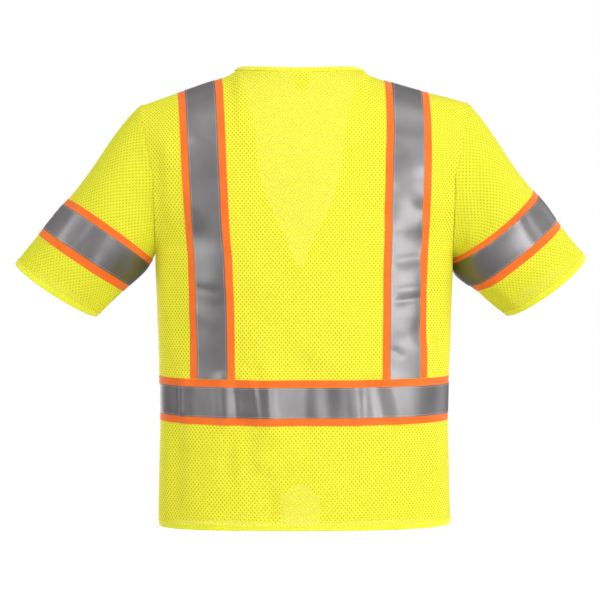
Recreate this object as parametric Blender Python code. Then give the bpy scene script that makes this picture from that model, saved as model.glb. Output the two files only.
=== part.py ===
"""Short-sleeved mesh safety vest with a zip front, filled out as it hangs on its wearer.

Metres, +Z up, +X the wearer's left, -Y the front. The origin is between the two neck
points of the shoulder seams, where the shoulders carry the vest.

Every cloth piece is cut from five nets of points: the back, two fronts and two sleeves. A
row of a body net lies at one level: 0 is the hem, 1 the armpit, 2 half way up the armhole
and 3 the top, which is the shoulder seam and the back of the neck.
"""

import bpy
import numpy as np

# Cloth and tape
CLOTH = 0.0012            # wall of the mesh cloth
SEAM_GAP = 0.0003         # between pieces that are sewn edge to edge
LAYER_GAP = 0.0003        # between layers that lie on each other
TAPE = 0.0010             # wall of each contrast and silver tape
BINDING = 0.0022          # wall of the folded edge binding
BINDING_WIDTH = 0.0095
TAPE_HALF = 0.0381        # the contrast tape is 3 inches wide
SILVER_HALF = 0.0254      # the silver tape is 2 inches wide

# Heights
HEM_Z = -0.790
ARMPIT_MID_Z = -0.344     # level 1 at the middle, also the point of the V neck
ARMPIT_RISE = 0.022       # level 1 climbs this much towards the side seam
ARMHOLE_MID_Z = -0.1943   # level 2 at the armhole
YOKE_MID_Z = -0.205       # level 2 at the middle
WAIST_TAPE_Z = -0.57695   # middle of the waist tape at the back
FRONT_HEM_DROP = 0.024

# Widths
BODY_SHIFT = -0.0072      # the body hangs a little to the wearer's right of the neck
ARMHOLE_BACK = 0.078      # how far the armhole opens behind the shoulder seam
ARMHOLE_FRONT = 0.074
NECK_HALF = 0.1077        # neck edge, and below it the seam of the neck binding
NECK_SEAM_HALF = 0.1143
NECK_BACK = 0.0755
NECK_SEAM_BACK = 0.0800
NECK_DROP = 0.0088
NECK_SEAM_Z = -0.0065
NECK_SEAM_DROP = 0.0102
NECK_STAND = 0.0088       # how far the neck edge stands above the line of the shoulder
NECK_STAND_REACH = 0.012
NECK_SHARES = (0.0, 0.5, 0.86, 1.0)      # columns of the back up to the neck point
SIDE_FULLNESS = 0.62      # how square the body's section is at the side, 0.55 is an ellipse
MIDDLE_FULLNESS = 0.60

LEFT, RIGHT = 1, -1
BACK, FRONT = 1, -1
SIDE_NAMES = {LEFT: "left", RIGHT: "right"}

SIDE_HEM_DROP = {LEFT: 0.0065, RIGHT: 0.0025}

# Shoulder point and slope of the shoulder seam on each side
SHOULDER = {
    LEFT: {"x": 0.2786, "z": -0.0666, "slope": 0.3327},
    RIGHT: {"x": 0.2926, "z": -0.0620, "slope": 0.2650},
}

# Body sections from hem to yoke. The turn is how far, in degrees, the cloth has turned
# from the middle of the panel to its edge: at 90 it runs straight into the other panel.
SECTION_COLUMNS = ("level", "half_width", "back_depth", "front_depth", "turn")
SECTIONS = (
    (0.00, 0.2540, 0.140, 0.142, 90.0),
    (0.48, 0.2505, 0.142, 0.147, 90.0),
    (0.75, 0.2550, 0.143, 0.151, 90.0),
    (1.00, 0.2585, 0.141, 0.149, 90.0),
    (1.40, 0.2562, 0.139, 0.142, 66.0),
    (2.00, 0.2570, 0.136, 0.128, 40.0),
)

# Middle line of the tapes over the shoulders, away from the middle, and the guide line
# that runs up the back to the neck point
BRACE_COLUMNS = ("level", "back_left", "back_right", "front_left", "front_right", "neck_guide")
BRACES = (
    (0.00, 0.1467, 0.1765, 0.1480, 0.1640, 0.082),
    (0.56, 0.1467, 0.1765, 0.1500, 0.1660, 0.084),
    (1.28, 0.1530, 0.1792, 0.1560, 0.1710, 0.092),
    (2.35, 0.1646, 0.1837, 0.1680, 0.1800, 0.108),
    (3.00, 0.1761, 0.1843, 0.1761, 0.1843, NECK_SEAM_HALF),
)

# Inner edge of the fronts and, outside it, the seam of their binding
NOTCH_COLUMNS = ("height", "edge", "seam")
NOTCH = (
    (-0.805, 0.0360, 0.0455),
    (-0.746, 0.0360, 0.0455),
    (-0.726, 0.0055, 0.0150),
    (-0.344, 0.0055, 0.0150),
)
NECKLINE = (
    (-0.344, 0.0055, 0.0150),
    (-0.293, 0.0250, 0.0355),
    (-0.243, 0.0505, 0.0608),
    (-0.173, 0.0736, 0.0832),
    (-0.085, 0.0835, 0.0930),
    (0.002, NECK_HALF, NECK_SEAM_HALF),
)

# Largest folds, each a soft trough (negative) or ridge along a leaning line
FOLD_COLUMNS = ("face", "top_x", "top_z", "foot_x", "foot_z", "half_width", "depth")
FOLDS = (
    (BACK, 0.112, -0.630, 0.060, -0.715, 0.022, -0.0035),
    (BACK, -0.140, -0.630, -0.122, -0.735, 0.024, -0.0030),
    (BACK, -0.232, -0.640, -0.212, -0.740, 0.020, -0.0035),
    (BACK, 0.226, -0.370, 0.190, -0.500, 0.022, -0.0030),
    (BACK, -0.236, -0.370, -0.205, -0.490, 0.022, -0.0030),
    (FRONT, 0.105, -0.630, 0.075, -0.740, 0.024, -0.0035),
    (FRONT, -0.120, -0.630, -0.085, -0.730, 0.024, -0.0030),
    (FRONT, 0.210, -0.370, 0.150, -0.500, 0.026, -0.0035),
    (FRONT, -0.220, -0.370, -0.165, -0.490, 0.026, -0.0035),
)

# Rings of the sleeves, from the top of the tape to the cuff: the outer and the under point
# seen from behind, the middle and half depth front to back, and the lean of the ring
RING_COLUMNS = ("to_cuff", "outer_x", "outer_z", "under_x", "under_z", "y", "half_depth", "lean")
RINGS = {
    LEFT: (
        (0.000, 0.4940, -0.3405, 0.3560, -0.4325, 0.008, 0.0740, 4.5),
        (0.063, 0.4545, -0.2905, 0.3082, -0.3885, 0.004, 0.0790, 0.0),
        (0.110, 0.4250, -0.2532, 0.2720, -0.3545, 0.002, 0.0825, -3.0),
        (0.141, 0.4050, -0.2300, 0.2580, -0.3345, 0.000, 0.0850, -5.0),
    ),
    RIGHT: (
        (0.000, 0.5030, -0.3268, 0.3670, -0.4310, -0.040, 0.0740, 9.0),
        (0.063, 0.4565, -0.2722, 0.3100, -0.3870, -0.028, 0.0790, 7.0),
        (0.110, 0.4285, -0.2345, 0.2700, -0.3545, -0.021, 0.0825, 7.0),
        (0.141, 0.4075, -0.2120, 0.2690, -0.3300, -0.016, 0.0850, 7.0),
    ),
}
CAP_STEPS = (0.0, 0.22, 0.48, 0.75)      # rows between the armhole and the sleeve tape
CAP_PULL = 0.34                          # how far the cap keeps each end's direction
CAP_OUT = {LEFT: 0.40, RIGHT: 0.30}      # how far the cap leans out at the shoulder point
SLEEVE_SEAM_UNDER = 0.0022               # the sleeve starts this much out from the armpit

# Zip
ZIP_TAPE_INNER = 0.0020
ZIP_TAPE_OUTER = 0.0150
ZIP_TAPE = 0.0012
CHAIN_HALF = 0.0028
CHAIN_TOP_Z = -0.350
CHAIN_FRONT = 0.0010
SLIDER_Z = -0.3475
SLIDER_HALF_WIDTH = 0.0042
SLIDER_HALF_HEIGHT = 0.0060
SLIDER_PLATE = 0.0010
POST_HALF = 0.0014
POST_HEIGHT = 0.0030
BRIDGE_HALF = 0.0008
BRIDGE_LEG = 0.0010
BRIDGE_EYE_HALF = 0.0040
BRIDGE_EYE_HEIGHT = 0.0023
TAB_THICKNESS = 0.0012
TAB_HOLE_HALF = 0.0013
TAB_HALF = 0.0028
TAB_HOLE_END = 0.0060
TAB_LENGTH = 0.0240

# Label, in cells of the back's net from its top middle point
LABEL_LEFT = 0.28
LABEL_RIGHT = 0.18
LABEL_TOP = 0.05
LABEL_FOOT = 0.14
LABEL_THICKNESS = 0.0010

CLOTH_OUT = CLOTH / 2
TAPE_IN = CLOTH_OUT + LAYER_GAP
SILVER_IN = TAPE_IN + TAPE + LAYER_GAP


def srgb(colour):
    """An sRGB hex colour as linear red, green and blue."""
    parts = [int(colour[i:i + 2], 16) / 255 for i in (1, 3, 5)]
    return [p / 12.92 if p <= 0.04045 else ((p + 0.055) / 1.055) ** 2.4 for p in parts]


FINISHES = {
    "lime_mesh": ("#eef03c", 0.75, 0.0),
    "lime_binding": ("#f2f53a", 0.60, 0.0),
    "orange_tape": ("#ff6a2c", 0.65, 0.0),
    "silver_tape": ("#9c9ba0", 0.35, 0.4),
    "lime_zip": ("#dfe62e", 0.45, 0.0),
    "blank_label": ("#e9e64a", 0.70, 0.0),
}


def smooth(at, places, values):
    """A cubic through the values, each with the slope of its neighbours."""
    places, values = np.asarray(places, float), np.asarray(values, float)
    slopes = np.gradient(values, places)
    i = np.clip(np.searchsorted(places, at, side="right") - 1, 0, len(places) - 2)
    step = places[i + 1] - places[i]
    u = np.clip((at - places[i]) / step, 0, 1)
    rise = u * u * (3 - 2 * u)
    return (values[i] * (1 - rise) + values[i + 1] * rise
            + step * slopes[i] * u * (1 - u) ** 2 - step * slopes[i + 1] * u * u * (1 - u))


def column(table, columns, name):
    return np.array([row[columns.index(name)] for row in table], float)


def read(table, columns, name, at, how=smooth):
    """One column of a table, at places along its first column."""
    places, values = column(table, columns, columns[0]), column(table, columns, name)
    return np.interp(at, places, values) if how is np.interp else how(at, places, values)


def ridge(side, x):
    """Height of the shoulder seam, straight down to the shoulder point and raised at the neck."""
    point = SHOULDER[side]
    stand = NECK_STAND * np.exp(-(x - NECK_HALF) / NECK_STAND_REACH)
    return point["z"] + (point["x"] - x) * point["slope"] + np.minimum(stand, 2 * NECK_STAND)


def lower_section(face, side, across, level):
    """Points up to level 2: each row is one cubic from the middle of the panel to its edge."""
    face_name = "back" if face == BACK else "front"
    half_width = read(SECTIONS, SECTION_COLUMNS, "half_width", level)
    depth = read(SECTIONS, SECTION_COLUMNS, face_name + "_depth", level)
    turn = np.radians(read(SECTIONS, SECTION_COLUMNS, "turn", level))
    arm = np.clip(level - 1, 0, 1)
    opening = ARMHOLE_BACK if face == BACK else ARMHOLE_FRONT
    edge_depth = opening * np.sin(arm * np.pi / 2)
    swell = SIDE_FULLNESS * (depth - edge_depth)
    handle = 1 - swell / np.tan(turn) / half_width
    a, b, c = 3 * (1 - across) ** 2 * across, 3 * (1 - across) * across ** 2, across ** 3
    share = a * MIDDLE_FULLNESS + b * handle + c
    y = depth * ((1 - across) ** 3 + a) + (edge_depth + swell) * b + edge_depth * c
    low = np.clip(level, 0, 1)
    mid_z = np.where(level < 1, HEM_Z + (ARMPIT_MID_Z - HEM_Z) * low,
                     ARMPIT_MID_Z + (YOKE_MID_Z - ARMPIT_MID_Z) * arm)
    armpit_z = ARMPIT_MID_Z + ARMPIT_RISE
    side_z = np.where(level < 1, mid_z + ARMPIT_RISE * low ** 3 - SIDE_HEM_DROP[side] * (1 - low) ** 2,
                      armpit_z + (ARMHOLE_MID_Z - armpit_z) * (1 - np.cos(arm * np.pi / 2)))
    if face == FRONT:
        mid_z = mid_z - FRONT_HEM_DROP * (1 - low) ** 2
    z = mid_z + (side_z - mid_z) * share ** 2
    return BODY_SHIFT + side * half_width * share, face * y, z, share


def body(face, side, across, level):
    """Points of the body. Above level 2 each column is a quarter turn over the shoulder."""
    across, level = np.broadcast_arrays(np.asarray(across, float), np.asarray(level, float))
    x, y, z, share = lower_section(face, side, across, np.minimum(level, 2))
    over = np.clip(level - 2, 0, 1)
    grow = SHOULDER[side]["x"] - abs(BODY_SHIFT + side * SECTIONS[-1][1])
    top_x = x + side * grow * share
    top_y, top_z = np.zeros_like(x), ridge(side, side * top_x)
    end = np.full_like(x, np.pi / 2)
    if face == BACK:
        inside = np.clip(1 - (top_x / NECK_SEAM_HALF) ** 2, 0, 1)
        at_neck = side * top_x < NECK_SEAM_HALF
        top_y = np.where(at_neck, NECK_SEAM_BACK * np.sqrt(inside), 0)
        top_z = np.where(at_neck, NECK_SEAM_Z - NECK_SEAM_DROP * inside, top_z)
        end = end - np.radians(35) * inside
    angle = end * over
    rise = np.sin(angle) / np.sin(end)
    swing = (np.cos(angle) - np.cos(end)) / (1 - np.cos(end))
    yoke = (x + (top_x - x) * rise, top_y + (y - top_y) * swing, z + (top_z - z) * rise)
    lower = (x, y, z)
    return np.stack([np.where(level > 2, u, v) for u, v in zip(yoke, lower)], -1)


def across_at(face, side, out, level):
    """How far across the panel it is `out` from the middle of the vest, by halving."""
    low, high = np.full_like(level, -0.1), np.full_like(level, 1.05)
    for _ in range(40):
        middle = (low + high) / 2
        far = side * body(face, side, middle, level)[..., 0] > out
        low, high = np.where(far, low, middle), np.where(far, middle, high)
    return (low + high) / 2


def fold_shift(face, points):
    """How far the folds move each point in or out."""
    shift = np.zeros(points.shape[:-1])
    for row in FOLDS:
        fold = dict(zip(FOLD_COLUMNS, row))
        if fold["face"] != face:
            continue
        along = (points[..., 2] - fold["top_z"]) / (fold["foot_z"] - fold["top_z"])
        middle = fold["top_x"] + (fold["foot_x"] - fold["top_x"]) * along
        window = np.clip(1 - (2 * along - 1) ** 2, 0, 1) ** 2
        shift += fold["depth"] * window * np.exp(-((points[..., 0] - middle) / fold["half_width"]) ** 2)
    return shift


def unit(vectors):
    return vectors / np.maximum(np.linalg.norm(vectors, axis=-1, keepdims=True), 1e-12)


def body_net(face, side, across, levels):
    """Points and outward normals of one half of the back or of a front."""
    level = np.broadcast_to(levels[:, None], across.shape)
    points = body(face, side, across, level)
    step = 0.004
    along = body(face, side, across + step, level) - body(face, side, across - step, level)
    up = (body(face, side, across, np.minimum(level + step, 3))
          - body(face, side, across, np.maximum(level - step, 0)))
    normals = unit(np.cross(along, up)) * -face * side
    return points + normals * fold_shift(face, points)[..., None], normals


def between(start, end, count):
    """Columns from start, up to but not including end."""
    return [start + (end - start) * k / count for k in range(count)]


def height_level(height):
    """Level of a height at the middle of a panel, below the armpit."""
    return (height - HEM_Z) / (ARMPIT_MID_Z - HEM_Z)


def tape_level(offset):
    return height_level(WAIST_TAPE_Z + offset)


ROWS = {
    "hem": 0.0,
    "hem_seam": height_level(HEM_Z + BINDING_WIDTH),
    "notch_shoulder": height_level(-0.746),
    "notch_top": height_level(-0.726),
    "skirt": height_level(-0.680),
    "tape_foot": tape_level(-TAPE_HALF),
    "silver_foot": tape_level(-SILVER_HALF),
    "silver_top": tape_level(SILVER_HALF),
    "tape_top": tape_level(TAPE_HALF),
    "chest_low": height_level(-0.470),
    "chest": height_level(-0.405),
    "armpit": 1.0,
}
ROW_NAMES = list(ROWS)
ARM_ROWS = (1.25, 1.5, 1.75, 2.0, 2.2, 2.4, 2.6, 2.8, 3.0)
LEVELS = np.array(list(ROWS.values()) + list(ARM_ROWS))
ARMPIT = ROW_NAMES.index("armpit")


def rows(first, last=None):
    """Rows of a body net, from one named row to another or to the top."""
    stop = len(LEVELS) if last is None else ROW_NAMES.index(last) + 1
    return slice(ROW_NAMES.index(first), stop)


def brace_lines(face, side, level):
    """The five lines of the shoulder tape: its edges, the silver's edges and the middle."""
    name = ("back_" if face == BACK else "front_") + SIDE_NAMES[side]
    middle = read(BRACES, BRACE_COLUMNS, name, level)
    offsets = (-TAPE_HALF, -SILVER_HALF, 0, SILVER_HALF, TAPE_HALF)
    return [across_at(face, side, middle + offset, level) for offset in offsets]


def back_half(side):
    guide = across_at(BACK, side, read(BRACES, BRACE_COLUMNS, "neck_guide", LEVELS), LEVELS)
    tape = brace_lines(BACK, side, LEVELS)
    columns = [guide * share for share in NECK_SHARES] + tape + between(tape[-1], 1 + 0 * guide, 3)[1:]
    return body_net(BACK, side, np.stack(columns + [1 + 0 * guide], 1), LEVELS)


def inner_lines(side):
    """The inner edge of a front and the seam line beside it, found from their heights."""
    lines = []
    for name in ("edge", "seam"):
        across = np.zeros_like(LEVELS)
        for _ in range(12):
            height = body(FRONT, side, across, LEVELS)[..., 2]
            low = read(NOTCH, NOTCH_COLUMNS, name, HEM_Z + (ARMPIT_MID_Z - HEM_Z) * LEVELS, np.interp)
            high = read(NECKLINE, NOTCH_COLUMNS, name, height)
            across = across_at(FRONT, side, np.where(LEVELS > 1, high, low), LEVELS)
        lines.append(across)
    return lines


def front_half(side):
    edge, seam = inner_lines(side)
    tape = brace_lines(FRONT, side, LEVELS)
    columns = [edge] + between(seam, tape[0], 3) + tape + between(tape[-1], 1 + 0 * edge, 3)[1:]
    return body_net(FRONT, side, np.stack(columns + [1 + 0 * edge], 1), LEVELS)


def cut(net, row_range=slice(None), column_range=slice(None)):
    """Part of a net, as its points and normals."""
    return net[0][row_range, column_range], net[1][row_range, column_range]


def inside(net, row_places, column_places):
    """Points of a net at places between its rows and columns, on its flat cells."""
    row, column = np.meshgrid(row_places, column_places, indexing="ij")
    i = np.minimum(row.astype(int), net[0].shape[0] - 2)
    j = np.minimum(column.astype(int), net[0].shape[1] - 2)
    u, v = (row - i)[..., None], (column - j)[..., None]
    points, normals = (f[i, j] * (1 - u) * (1 - v) + f[i, j + 1] * (1 - u) * v
                       + f[i + 1, j] * u * (1 - v) + f[i + 1, j + 1] * u * v for f in net)
    return points, unit(normals)


def ring(side, to_cuff, angle):
    """Points round a sleeve, at a distance from the cuff. Angle 0 is the outer point, 90 the back."""
    table = RINGS[side]
    values = {name: read(table, RING_COLUMNS, name, to_cuff) for name in RING_COLUMNS[1:]}
    outer = np.array([side * values["outer_x"], values["y"], values["outer_z"]])
    under = np.array([side * values["under_x"], values["y"], values["under_z"]])
    reach = (outer - under) / 2
    down = np.array([-reach[2], 0, reach[0]]) * -side
    lean = np.radians(values["lean"])
    depth = values["half_depth"] * (np.array([0, 1, 0]) * np.cos(lean) + unit(down) * np.sin(lean))
    return (outer + under) / 2 + np.cos(angle)[:, None] * reach + np.sin(angle)[:, None] * depth


def armhole(side, back, front):
    """Round the armhole, from the shoulder point down the back and up the front."""
    behind, before = back[0][ARMPIT:, -1], front[0][ARMPIT:, -1]
    points = np.concatenate([behind[::-1], before[1:]])
    angle = np.concatenate([(3 - LEVELS[ARMPIT:])[::-1], LEVELS[ARMPIT + 1:] + 1]) * np.pi / 2
    return points, angle


SLEEVE_ROWS = {
    "tape_top": 0.141,
    "silver_top": 0.141 - TAPE_HALF + SILVER_HALF,
    "silver_middle": 0.110,
    "silver_foot": 0.063 + TAPE_HALF - SILVER_HALF,
    "tape_foot": 0.063,
    "cuff_seam": BINDING_WIDTH,
    "cuff": 0.0,
}


def sleeve_net(side, back, front):
    """Rows of rings from the armhole to the cuff: a cap, then a narrowing tube."""
    start, angle = armhole(side, back, front)
    top = ring(side, SLEEVE_ROWS["tape_top"], angle)
    below = ring(side, SLEEVE_ROWS["tape_foot"], angle)
    reach = top - start
    length = np.linalg.norm(reach, axis=1, keepdims=True)
    high = ((1 + np.cos(angle)) / 2)[:, None]
    start = start + unit(reach) * SEAM_GAP / 2 + np.array([side, 0, 0]) * SLEEVE_SEAM_UNDER * (1 - high) ** 2
    leave = unit(unit(reach) + CAP_OUT[side] * high ** 2 * np.array([side, 0, 0]))
    first, second = start + leave * length * CAP_PULL, top - unit(below - top) * length * CAP_PULL
    cap = [start * (1 - v) ** 3 + 3 * first * (1 - v) ** 2 * v + 3 * second * (1 - v) * v ** 2 + top * v ** 3
           for v in CAP_STEPS]
    points = np.stack(cap + [ring(side, to_cuff, angle) for to_cuff in SLEEVE_ROWS.values()])
    wrapped = np.concatenate([points[:, -2:-1], points, points[:, 1:2]], 1)
    round_it = wrapped[:, 2:] - wrapped[:, :-2]
    down = np.gradient(points, axis=0)
    return points, unit(np.cross(down, round_it)) * side


def sleeve_rows(first, last):
    names = list(SLEEVE_ROWS)
    return slice(len(CAP_STEPS) + names.index(first), len(CAP_STEPS) + names.index(last) + 1)


def finish(name):
    """The material of this name, made on first use."""
    if name in bpy.data.materials:
        return bpy.data.materials[name]
    colour, roughness, metallic = FINISHES[name]
    material = bpy.data.materials.new(name)
    material.use_nodes = True
    shader = material.node_tree.nodes["Principled BSDF"]
    shader.inputs["Base Color"].default_value = srgb(colour) + [1]
    shader.inputs["Roughness"].default_value = roughness
    shader.inputs["Metallic"].default_value = metallic
    material.diffuse_color = srgb(colour) + [1]
    return material


def add_object(name, vertices, faces, material):
    mesh = bpy.data.meshes.new(name)
    mesh.from_pydata(np.asarray(vertices).tolist(), [], [list(map(int, face)) for face in faces])
    mesh.materials.append(finish(material))
    mesh.update()
    obj = bpy.data.objects.new(name, mesh)
    bpy.context.scene.collection.objects.link(obj)
    return obj


def weld(patches):
    """One list of points, normals and four-cornered cells from patches that share edges."""
    points = np.concatenate([p.reshape(-1, 3) for p, _ in patches])
    normals = np.concatenate([n.reshape(-1, 3) for _, n in patches])
    cells, start = [], 0
    for patch, _ in patches:
        index = np.arange(patch.shape[0] * patch.shape[1]).reshape(patch.shape[:2]) + start
        corners = index[:-1, :-1], index[:-1, 1:], index[1:, 1:], index[1:, :-1]
        cells.append(np.stack(corners, -1).reshape(-1, 4))
        start += index.size
    _, first, same = np.unique(np.round(points, 6), axis=0, return_index=True, return_inverse=True)
    summed = np.zeros((len(first), 3))
    np.add.at(summed, same.ravel(), normals)
    return points[first], unit(summed), same.ravel()[np.concatenate(cells)]


def halves(points, normals, cells):
    """Each cell as two triangles across its shorter diagonal, facing along the normals."""
    a, b, c, d = (points[cells[:, k]] for k in range(4))
    one = np.linalg.norm(a - c, axis=1) <= np.linalg.norm(b - d, axis=1) + 1e-7
    first = np.where(one[:, None], cells[:, [0, 1, 2]], cells[:, [0, 1, 3]])
    second = np.where(one[:, None], cells[:, [0, 2, 3]], cells[:, [1, 2, 3]])
    triangles = np.concatenate([first, second])
    triangles = triangles[(triangles[:, 0] != triangles[:, 1]) & (triangles[:, 1] != triangles[:, 2])
                          & (triangles[:, 0] != triangles[:, 2])]
    p = points[triangles]
    facing = np.cross(p[:, 1] - p[:, 0], p[:, 2] - p[:, 0])
    wrong = np.einsum("ij,ij->i", facing, normals[triangles].sum(1)) < 0
    triangles[wrong] = triangles[wrong][:, ::-1]
    return triangles


def rim(triangles):
    """Edges used by one triangle only, in that triangle's direction."""
    edges = np.concatenate([triangles[:, [0, 1]], triangles[:, [1, 2]], triangles[:, [2, 0]]])
    _, index, count = np.unique(np.sort(edges, 1), axis=0, return_index=True, return_counts=True)
    return edges[index[count == 1]]


def trimmed(points, normals, edges, trim):
    """The points, with those on the rim moved into the piece so that a seam gap is left."""
    inward = unit(np.cross(normals[edges[:, 0]] + normals[edges[:, 1]], points[edges[:, 1]] - points[edges[:, 0]]))
    total = np.zeros_like(points)
    np.add.at(total, edges[:, 0], inward)
    np.add.at(total, edges[:, 1], inward)
    size = np.maximum(np.einsum("ij,ij->i", total, total), 1.0)[:, None]
    return points + total * 2 * trim / size


def cloth(name, patches, inner, outer, material, trim=SEAM_GAP / 2):
    """A closed wall on patches of a net, between two distances out from the net."""
    points, normals, cells = weld(patches)
    triangles = halves(points, normals, cells)
    edges = rim(triangles)
    points = trimmed(points, normals, edges, trim)
    count = len(points)
    vertices = np.concatenate([points + normals * outer, points + normals * inner])
    under = triangles[:, ::-1] + count
    walls = np.stack([edges[:, 1], edges[:, 0], edges[:, 0] + count, edges[:, 1] + count], 1)
    return add_object(name, vertices, [*triangles, *under, *walls], material)


def strip(pairs):
    """A patch from an outer and an inner line of (point, normal) pairs."""
    (outer, outer_normals), (inner, inner_normals) = pairs
    return np.stack([outer, inner]), np.stack([outer_normals, inner_normals])


def neck_edge(seam_points, seam_normals):
    """The back neck edge above its seam line."""
    share = np.clip(seam_points[:, 0] / NECK_SEAM_HALF, -1, 1)
    inside = 1 - share ** 2
    edge = np.stack([NECK_HALF * share, NECK_BACK * np.sqrt(inside), -NECK_DROP * inside], 1)
    return edge, seam_normals


def make_panels(back, fronts, sleeves):
    seam = ROW_NAMES.index("hem_seam")
    top, foot = ROW_NAMES.index("armpit"), ROW_NAMES.index("notch_top")
    cloth("back_panel", [cut(half, slice(seam, None)) for half in back.values()],
          -CLOTH_OUT, CLOTH_OUT, "lime_mesh")
    for side, name in SIDE_NAMES.items():
        front = fronts[side]
        patches = [cut(front, slice(seam, None), slice(1, None)), cut(front, slice(foot, top + 1), slice(0, 2))]
        cloth("front_" + name, patches, -CLOTH_OUT, CLOTH_OUT, "lime_mesh")
        body_of_sleeve = slice(0, len(CAP_STEPS) + list(SLEEVE_ROWS).index("cuff_seam") + 1)
        cloth("sleeve_" + name, [cut(sleeves[side], body_of_sleeve)], -CLOTH_OUT, CLOTH_OUT, "lime_mesh")


def make_bindings(back, fronts, sleeves):
    low, high = -BINDING / 2, BINDING / 2
    seam, foot = ROW_NAMES.index("hem_seam"), ROW_NAMES.index("notch_top")
    hem = [cut(half, slice(0, seam + 1)) for half in back.values()]
    neck = []
    for side in SIDE_NAMES:
        points, normals = fronts[side]
        hem.append(cut(fronts[side], slice(0, seam + 1), slice(1, None)))
        hem.append(cut(fronts[side], slice(seam, foot + 1), slice(0, 2)))
        corner = points[[[0, seam], [0, seam]], [[0, 0], [1, 1]]]
        corner_normals = normals[[[0, seam], [0, seam]], [[0, 0], [1, 1]]]
        hem.append((corner, corner_normals))
        neck.append(cut(fronts[side], slice(ARMPIT, None), slice(0, 2)))
        neck_columns = slice(0, len(NECK_SHARES))
        line = back[side][0][-1, neck_columns], back[side][1][-1, neck_columns]
        edge = neck_edge(*line)
        edge[0][-1] = points[-1, 0]
        line[0][-1] = points[-1, 1]
        neck.append(strip((edge, line)))
    cloth("hem_binding", hem, low, high, "lime_binding")
    cloth("neck_binding", neck, low, high, "lime_binding", trim=SEAM_GAP)
    for side, name in SIDE_NAMES.items():
        cloth("cuff_binding_" + name, [cut(sleeves[side], sleeve_rows("cuff_seam", "cuff"))],
              low, high, "lime_binding")


def make_tapes(back, fronts, sleeves):
    """The contrast tapes and, on each, its silver tape."""
    layers = (
        ("tape", "orange_tape", TAPE_IN, TAPE_IN + TAPE),
        ("silver", "silver_tape", SILVER_IN, SILVER_IN + TAPE),
    )
    brace_columns = {"tape": slice(0, 5), "silver": slice(1, 4)}
    ends = {"tape": ("tape_foot", "tape_top"), "silver": ("silver_foot", "silver_top")}
    for layer, material, inner, outer in layers:
        foot, top = ends[layer]
        waist = [cut(net, rows(foot, top)) for net in [*back.values(), *fronts.values()]]
        cloth("waist_" + layer, waist, inner, outer, material)
        for side, name in SIDE_NAMES.items():
            brace = []
            for net, first in ((back[side], len(NECK_SHARES)), (fronts[side], 4)):
                span = brace_columns[layer]
                brace.append(cut(net, rows("tape_top"), slice(first + span.start, first + span.stop)))
            cloth(f"brace_{layer}_{name}", brace, inner, outer, material)
            cloth(f"sleeve_{layer}_{name}", [cut(sleeves[side], sleeve_rows(top, foot))],
                  inner, outer, material)


def make_label(back):
    """A blank label inside the back of the neck, hanging from the binding's seam."""
    top = len(LEVELS) - 1
    places = [top - LABEL_TOP, top - 1, top - 1 - LABEL_FOOT]
    patches = [inside(back[LEFT], places, [0, LABEL_LEFT]), inside(back[RIGHT], places, [0, LABEL_RIGHT])]
    outer = -CLOTH_OUT - LAYER_GAP
    cloth("neck_label", patches, outer - LABEL_THICKNESS, outer, "blank_label")


def zip_strip(low, high, levels):
    """A strip of the front's middle between two places across, as wide as it is at every level."""
    lines = [body_net(FRONT, LEFT, across_at(FRONT, LEFT, np.full_like(levels, x), levels)[:, None], levels)
             for x in (low, high)]
    return np.concatenate([lines[0][0], lines[1][0]], 1), np.concatenate([lines[0][1], lines[1][1]], 1)


def box(name, low, high, material):
    """A plain block between two corners."""
    corners = np.array([[x, y, z] for x in (low[0], high[0]) for y in (low[1], high[1]) for z in (low[2], high[2])])
    faces = ((0, 1, 3, 2), (4, 6, 7, 5), (0, 4, 5, 1), (2, 3, 7, 6), (0, 2, 6, 4), (1, 5, 7, 3))
    return add_object(name, corners, faces, material)


def make_zip(fronts):
    closure = LEVELS[rows("notch_top", "armpit")]
    tape_out = -CLOTH_OUT - LAYER_GAP
    for side, name in SIDE_NAMES.items():
        low, high = sorted((side * ZIP_TAPE_INNER, side * ZIP_TAPE_OUTER))
        cloth("zip_tape_" + name, [zip_strip(low, high, closure)], tape_out - ZIP_TAPE, tape_out, "lime_zip")
    chain_levels = np.append(closure[:-1], height_level(CHAIN_TOP_Z))
    cloth("zip_chain", [zip_strip(-CHAIN_HALF, CHAIN_HALF, chain_levels)],
          tape_out + LAYER_GAP, CHAIN_FRONT, "lime_zip")
    make_slider()


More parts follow.
